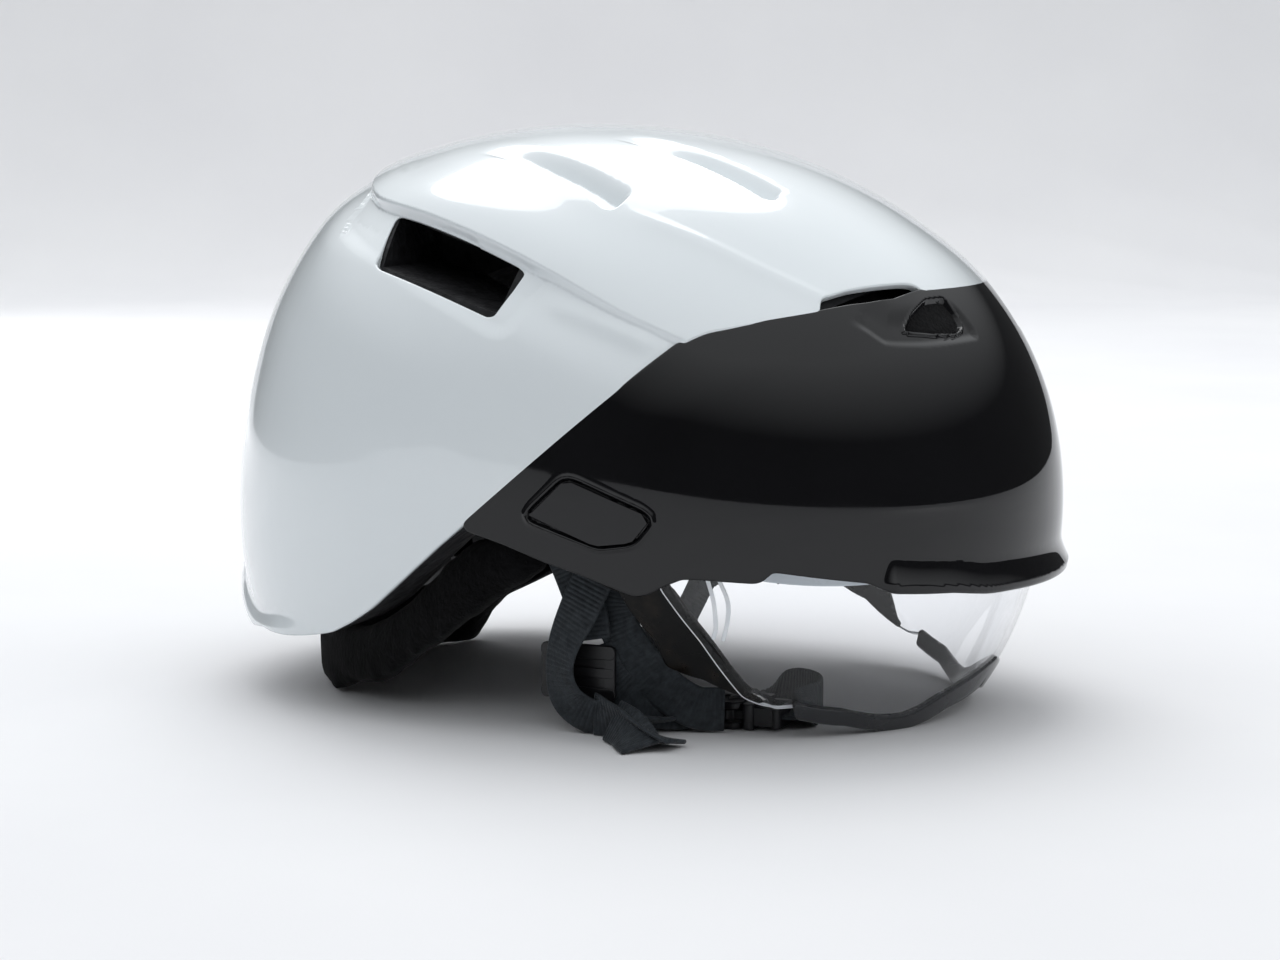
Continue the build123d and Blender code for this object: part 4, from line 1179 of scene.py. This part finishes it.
plastic_look = make_look(
    "moulded_nylon", [(50, 4), (0.004, 0.004, 0.005), (0.010, 0.010, 0.012)], [(90, 4), 0.28, 0.42],
    [(1400, 3), 0.00006, 0.5], Specular_IOR_Level=0.5
)
steel_look = make_look(
    "turned_steel", [(120, 3), (0.42, 0.42, 0.44), (0.55, 0.55, 0.57)], [(900, 3), 0.22, 0.38],
    [(1800, 2), 0.00003, 0.5], Metallic=1.0
)
brass_look = make_look(
    "turned_brass", [(120, 3), (0.62, 0.46, 0.20), (0.74, 0.56, 0.28)], [(700, 3), 0.25, 0.4],
    [(1500, 2), 0.00003, 0.5], Metallic=1.0
)
web_look = make_look(
    "ribbed_webbing", [(500, 5), (0.016, 0.020, 0.024), (0.036, 0.043, 0.050)], [(200, 3), 0.5, 0.75],
    [(1500, 5, 0.7), 0.0003, 0.7], Specular_IOR_Level=0.3, Sheen_Weight=0.12, Sheen_Roughness=0.4
)
ridge_look = make_look(
    "milky_clear", [(70, 3), (0.60, 0.66, 0.72), (0.72, 0.78, 0.84)], [(120, 3), 0.15, 0.3],
    Specular_IOR_Level=0.5, Coat_Weight=0.5, Coat_Roughness=0.05
)


def lens_material():
    """Clear plastic that lets lamps through, with faint haze and hairline scuffs."""
    look = Look("clear_lens", Transmission_Weight=1.0, IOR=1.42, Base_Color=(0.985, 0.99, 1.0))
    look.roughness(look.noise(55, 6), 0.0, 0.035, 0.5, 0.8)
    look.bump(look.noise(300, 2), 0.000008, 0.3)
    tree = look.tree
    out = tree.nodes["Material Output"]
    path = tree.nodes.new("ShaderNodeLightPath")
    clear = tree.nodes.new("ShaderNodeBsdfTransparent")
    clear.inputs["Color"].default_value = (0.93, 0.94, 0.95, 1)
    mix = tree.nodes.new("ShaderNodeMixShader")
    tree.links.new(path.outputs["Is Shadow Ray"], mix.inputs["Fac"])
    tree.links.new(look.shader.outputs["BSDF"], mix.inputs[1])
    tree.links.new(clear.outputs["BSDF"], mix.inputs[2])
    tree.links.new(mix.outputs["Shader"], out.inputs["Surface"])
    return look


lens_look = lens_material()
# Near-white colour for the lens rim and the strips on its bends: a painted highlight on clear plastic.
painted_edge_highlight = make_look(
    "lens_edge_painted_highlight", [(120, 3), (0.84, 0.88, 0.93), (0.95, 0.97, 1.0)], [(200, 3), 0.08, 0.2],
    Specular_IOR_Level=0.6, Coat_Weight=0.6, Coat_Roughness=0.05
)


def finish(obj, look, body, slot, *stands_for):
    """Material, body and the CAD nodes that a finished piece stands for. The slot argument is not used."""
    obj.data.materials.append(look.mat)
    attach(obj, body)
    if stands_for:
        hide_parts(*stands_for)


finish(white, white_look, "helmet", "white_shell", "outer_shell")
finish(black, black_look, "helmet", "black_gloss", "front_shell")
finish(lens, lens_look, "visor", "clear_lens", "visor_lens")
finish(trim, trim_look, "visor", "black_trim", "visor_edge_trim")
for side in ("left", "right"):
    finish(arms[side], arm_look, "visor", "black_gloss", f"visor_arm_{side}")
    finish(ridges[side], ridge_look, "visor", "clear_lens", f"visor_ridge_{side}")

# Black fleece on the scoop sheets is painted dark reflection.
for dark_scoop_sheet in dark_scoop_sheets.values():
    finish(dark_scoop_sheet, fleece_look, "helmet", "black_gloss")
# The lens rim and the strips on its bends take the near-white painted highlight.
lens.data.materials.append(painted_edge_highlight.mat)
for bead in highlight_strips.values():
    finish(bead, painted_edge_highlight, "visor", "clear_lens")
for web, stands_for in webs:
    finish(web, web_look, "helmet", "webbing", *stands_for)
chin.data.materials.append(web_look.mat)
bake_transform(chin)
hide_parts("chin_strap", "chin_strap_left")
finish(socket_piece, plastic_look, "helmet", "black_plastic", "buckle_socket")
finish(plug_piece, plastic_look, "plug", "black_plastic", "buckle_plug")
for side in ("left", "right"):
    finish(locks[side], plastic_look, "helmet", "black_plastic", f"strap_lock_{side}")
    finish(levers[side], plastic_look, f"lever_{side}", "black_plastic", f"lock_lever_{side}")
finish(neck, fleece_look, "helmet", "neck_fleece", "neck_pad")
for name, pad in pads.items():
    finish(pad, pad_look, "helmet", "pad_fabric", name)

SLOT_LOOKS = {
    "white_shell": white_look, "black_gloss": black_look, "liner_foam": foam_look,
    "clear_lens": lens_look, "black_trim": trim_look, "screw_steel": steel_look,
    "brass_insert": brass_look, "black_plastic": plastic_look, "webbing": web_look,
    "pad_fabric": pad_look, "neck_fleece": fleece_look,
}
for part in frame["record"]["subparts"]:
    look = SLOT_LOOKS[part["material_slot"]]
    obj = nodes[part["node"]]
    obj.data.materials.clear()
    obj.data.materials.append(look.mat)

# --- Stage: pale table, backdrop, soft light, camera ---
AZIMUTH = math.radians(23)
ELEVATION = math.radians(7.5)
TARGET = Vector((-0.0017, 0, 0.0715))
DISTANCE = 1.0345
SENSOR = 36.0
FOCAL = 3000 / 1280 * SENSOR


def camera():
    data = bpy.data.cameras.new("camera")
    data.sensor_width = SENSOR
    data.lens = FOCAL
    data.clip_start = 0.01
    obj = add_object("camera", data)
    back = Vector((math.sin(AZIMUTH) * math.cos(ELEVATION), -math.cos(AZIMUTH) * math.cos(ELEVATION),
                   math.sin(ELEVATION)))
    across = Vector((math.cos(AZIMUTH), math.sin(AZIMUTH), 0))
    up = back.cross(across)
    turn = Matrix((across, up, back)).transposed()
    obj.matrix_world = Matrix.Translation(TARGET + back * DISTANCE) @ turn.to_4x4()
    bpy.context.scene.camera = obj


def stage():
    """A round table top whose far side rises into a backdrop."""
    rings, spokes = 60, 96
    reach, bend, high = 2.4, 1.9, 1.3
    away = Vector((-math.sin(AZIMUTH), math.cos(AZIMUTH)))
    verts, faces = [(0.0, 0.0, 0.0)], []
    for i in range(1, rings + 1):
        r = reach * (i / rings) ** 1.4
        for k in range(spokes):
            a = 2 * math.pi * k / spokes
            x, y = r * math.cos(a), r * math.sin(a)
            facing = x * away.x + y * away.y
            lift = max(0.0, facing - bend) / (reach - bend)
            verts.append((x, y, high * lift**2.2))
    for k in range(spokes):
        faces.append((0, 1 + k, 1 + (k + 1) % spokes))
    for i in range(rings - 1):
        for k in range(spokes):
            a, b = 1 + i * spokes + k, 1 + i * spokes + (k + 1) % spokes
            faces.append((a, a + spokes, b + spokes, b))
    floor = mesh_object("table_top", verts, faces)
    look = make_look("pale_cloth", [(4, 4), (0.80, 0.80, 0.815), (0.84, 0.84, 0.85)],
                     [(30, 3), 0.75, 0.9], [(900, 4), 0.0002, 0.2], Specular_IOR_Level=0.2)
    floor.data.materials.append(look.mat)


def light(name, place_at, aim, size, power, seen=True):
    data = bpy.data.lights.new(name, "AREA")
    data.shape = "DISK"
    data.size = size
    data.energy = power
    obj = add_object(name, data)
    obj.location = place_at
    obj.visible_glossy = seen
    obj.rotation_euler = (Vector(aim) - Vector(place_at)).to_track_quat("-Z", "Y").to_euler()


def sky():
    """Dim round the horizon and bright overhead."""
    world = bpy.data.worlds.new("soft_sky")
    bpy.context.scene.world = world
    world.use_nodes = True
    tree = world.node_tree
    coords = tree.nodes.new("ShaderNodeTexCoord")
    split = tree.nodes.new("ShaderNodeSeparateXYZ")
    ramp_node = tree.nodes.new("ShaderNodeValToRGB")
    tree.links.new(coords.outputs["Generated"], split.inputs[0])
    tree.links.new(split.outputs["Z"], ramp_node.inputs["Fac"])
    tree.links.new(ramp_node.outputs["Color"], tree.nodes["Background"].inputs["Color"])
    steps = [(0.0, 0.05), (0.27, 0.05), (0.40, 0.42), (0.65, 1.05), (1.0, 1.2)]
    elements = ramp_node.color_ramp.elements
    while len(elements) < len(steps):
        elements.new(0.5)
    for element, (at, value) in zip(elements, steps):
        element.position = at
        element.color = (value * 0.95, value * 0.975, value, 1)


camera()
stage()
sky()
light("key", (-0.5, 0.9, 1.9), (0, 0, 0.08), 1.6, 15)
light("front", (1.7, -0.2, 0.55), (0.05, 0, 0.02), 0.7, 3, seen=False)
light("rear", (-1.3, 1.0, 0.6), (0, 0, 0.02), 0.8, 3, seen=False)
bpy.context.scene.view_settings.view_transform = "Standard"
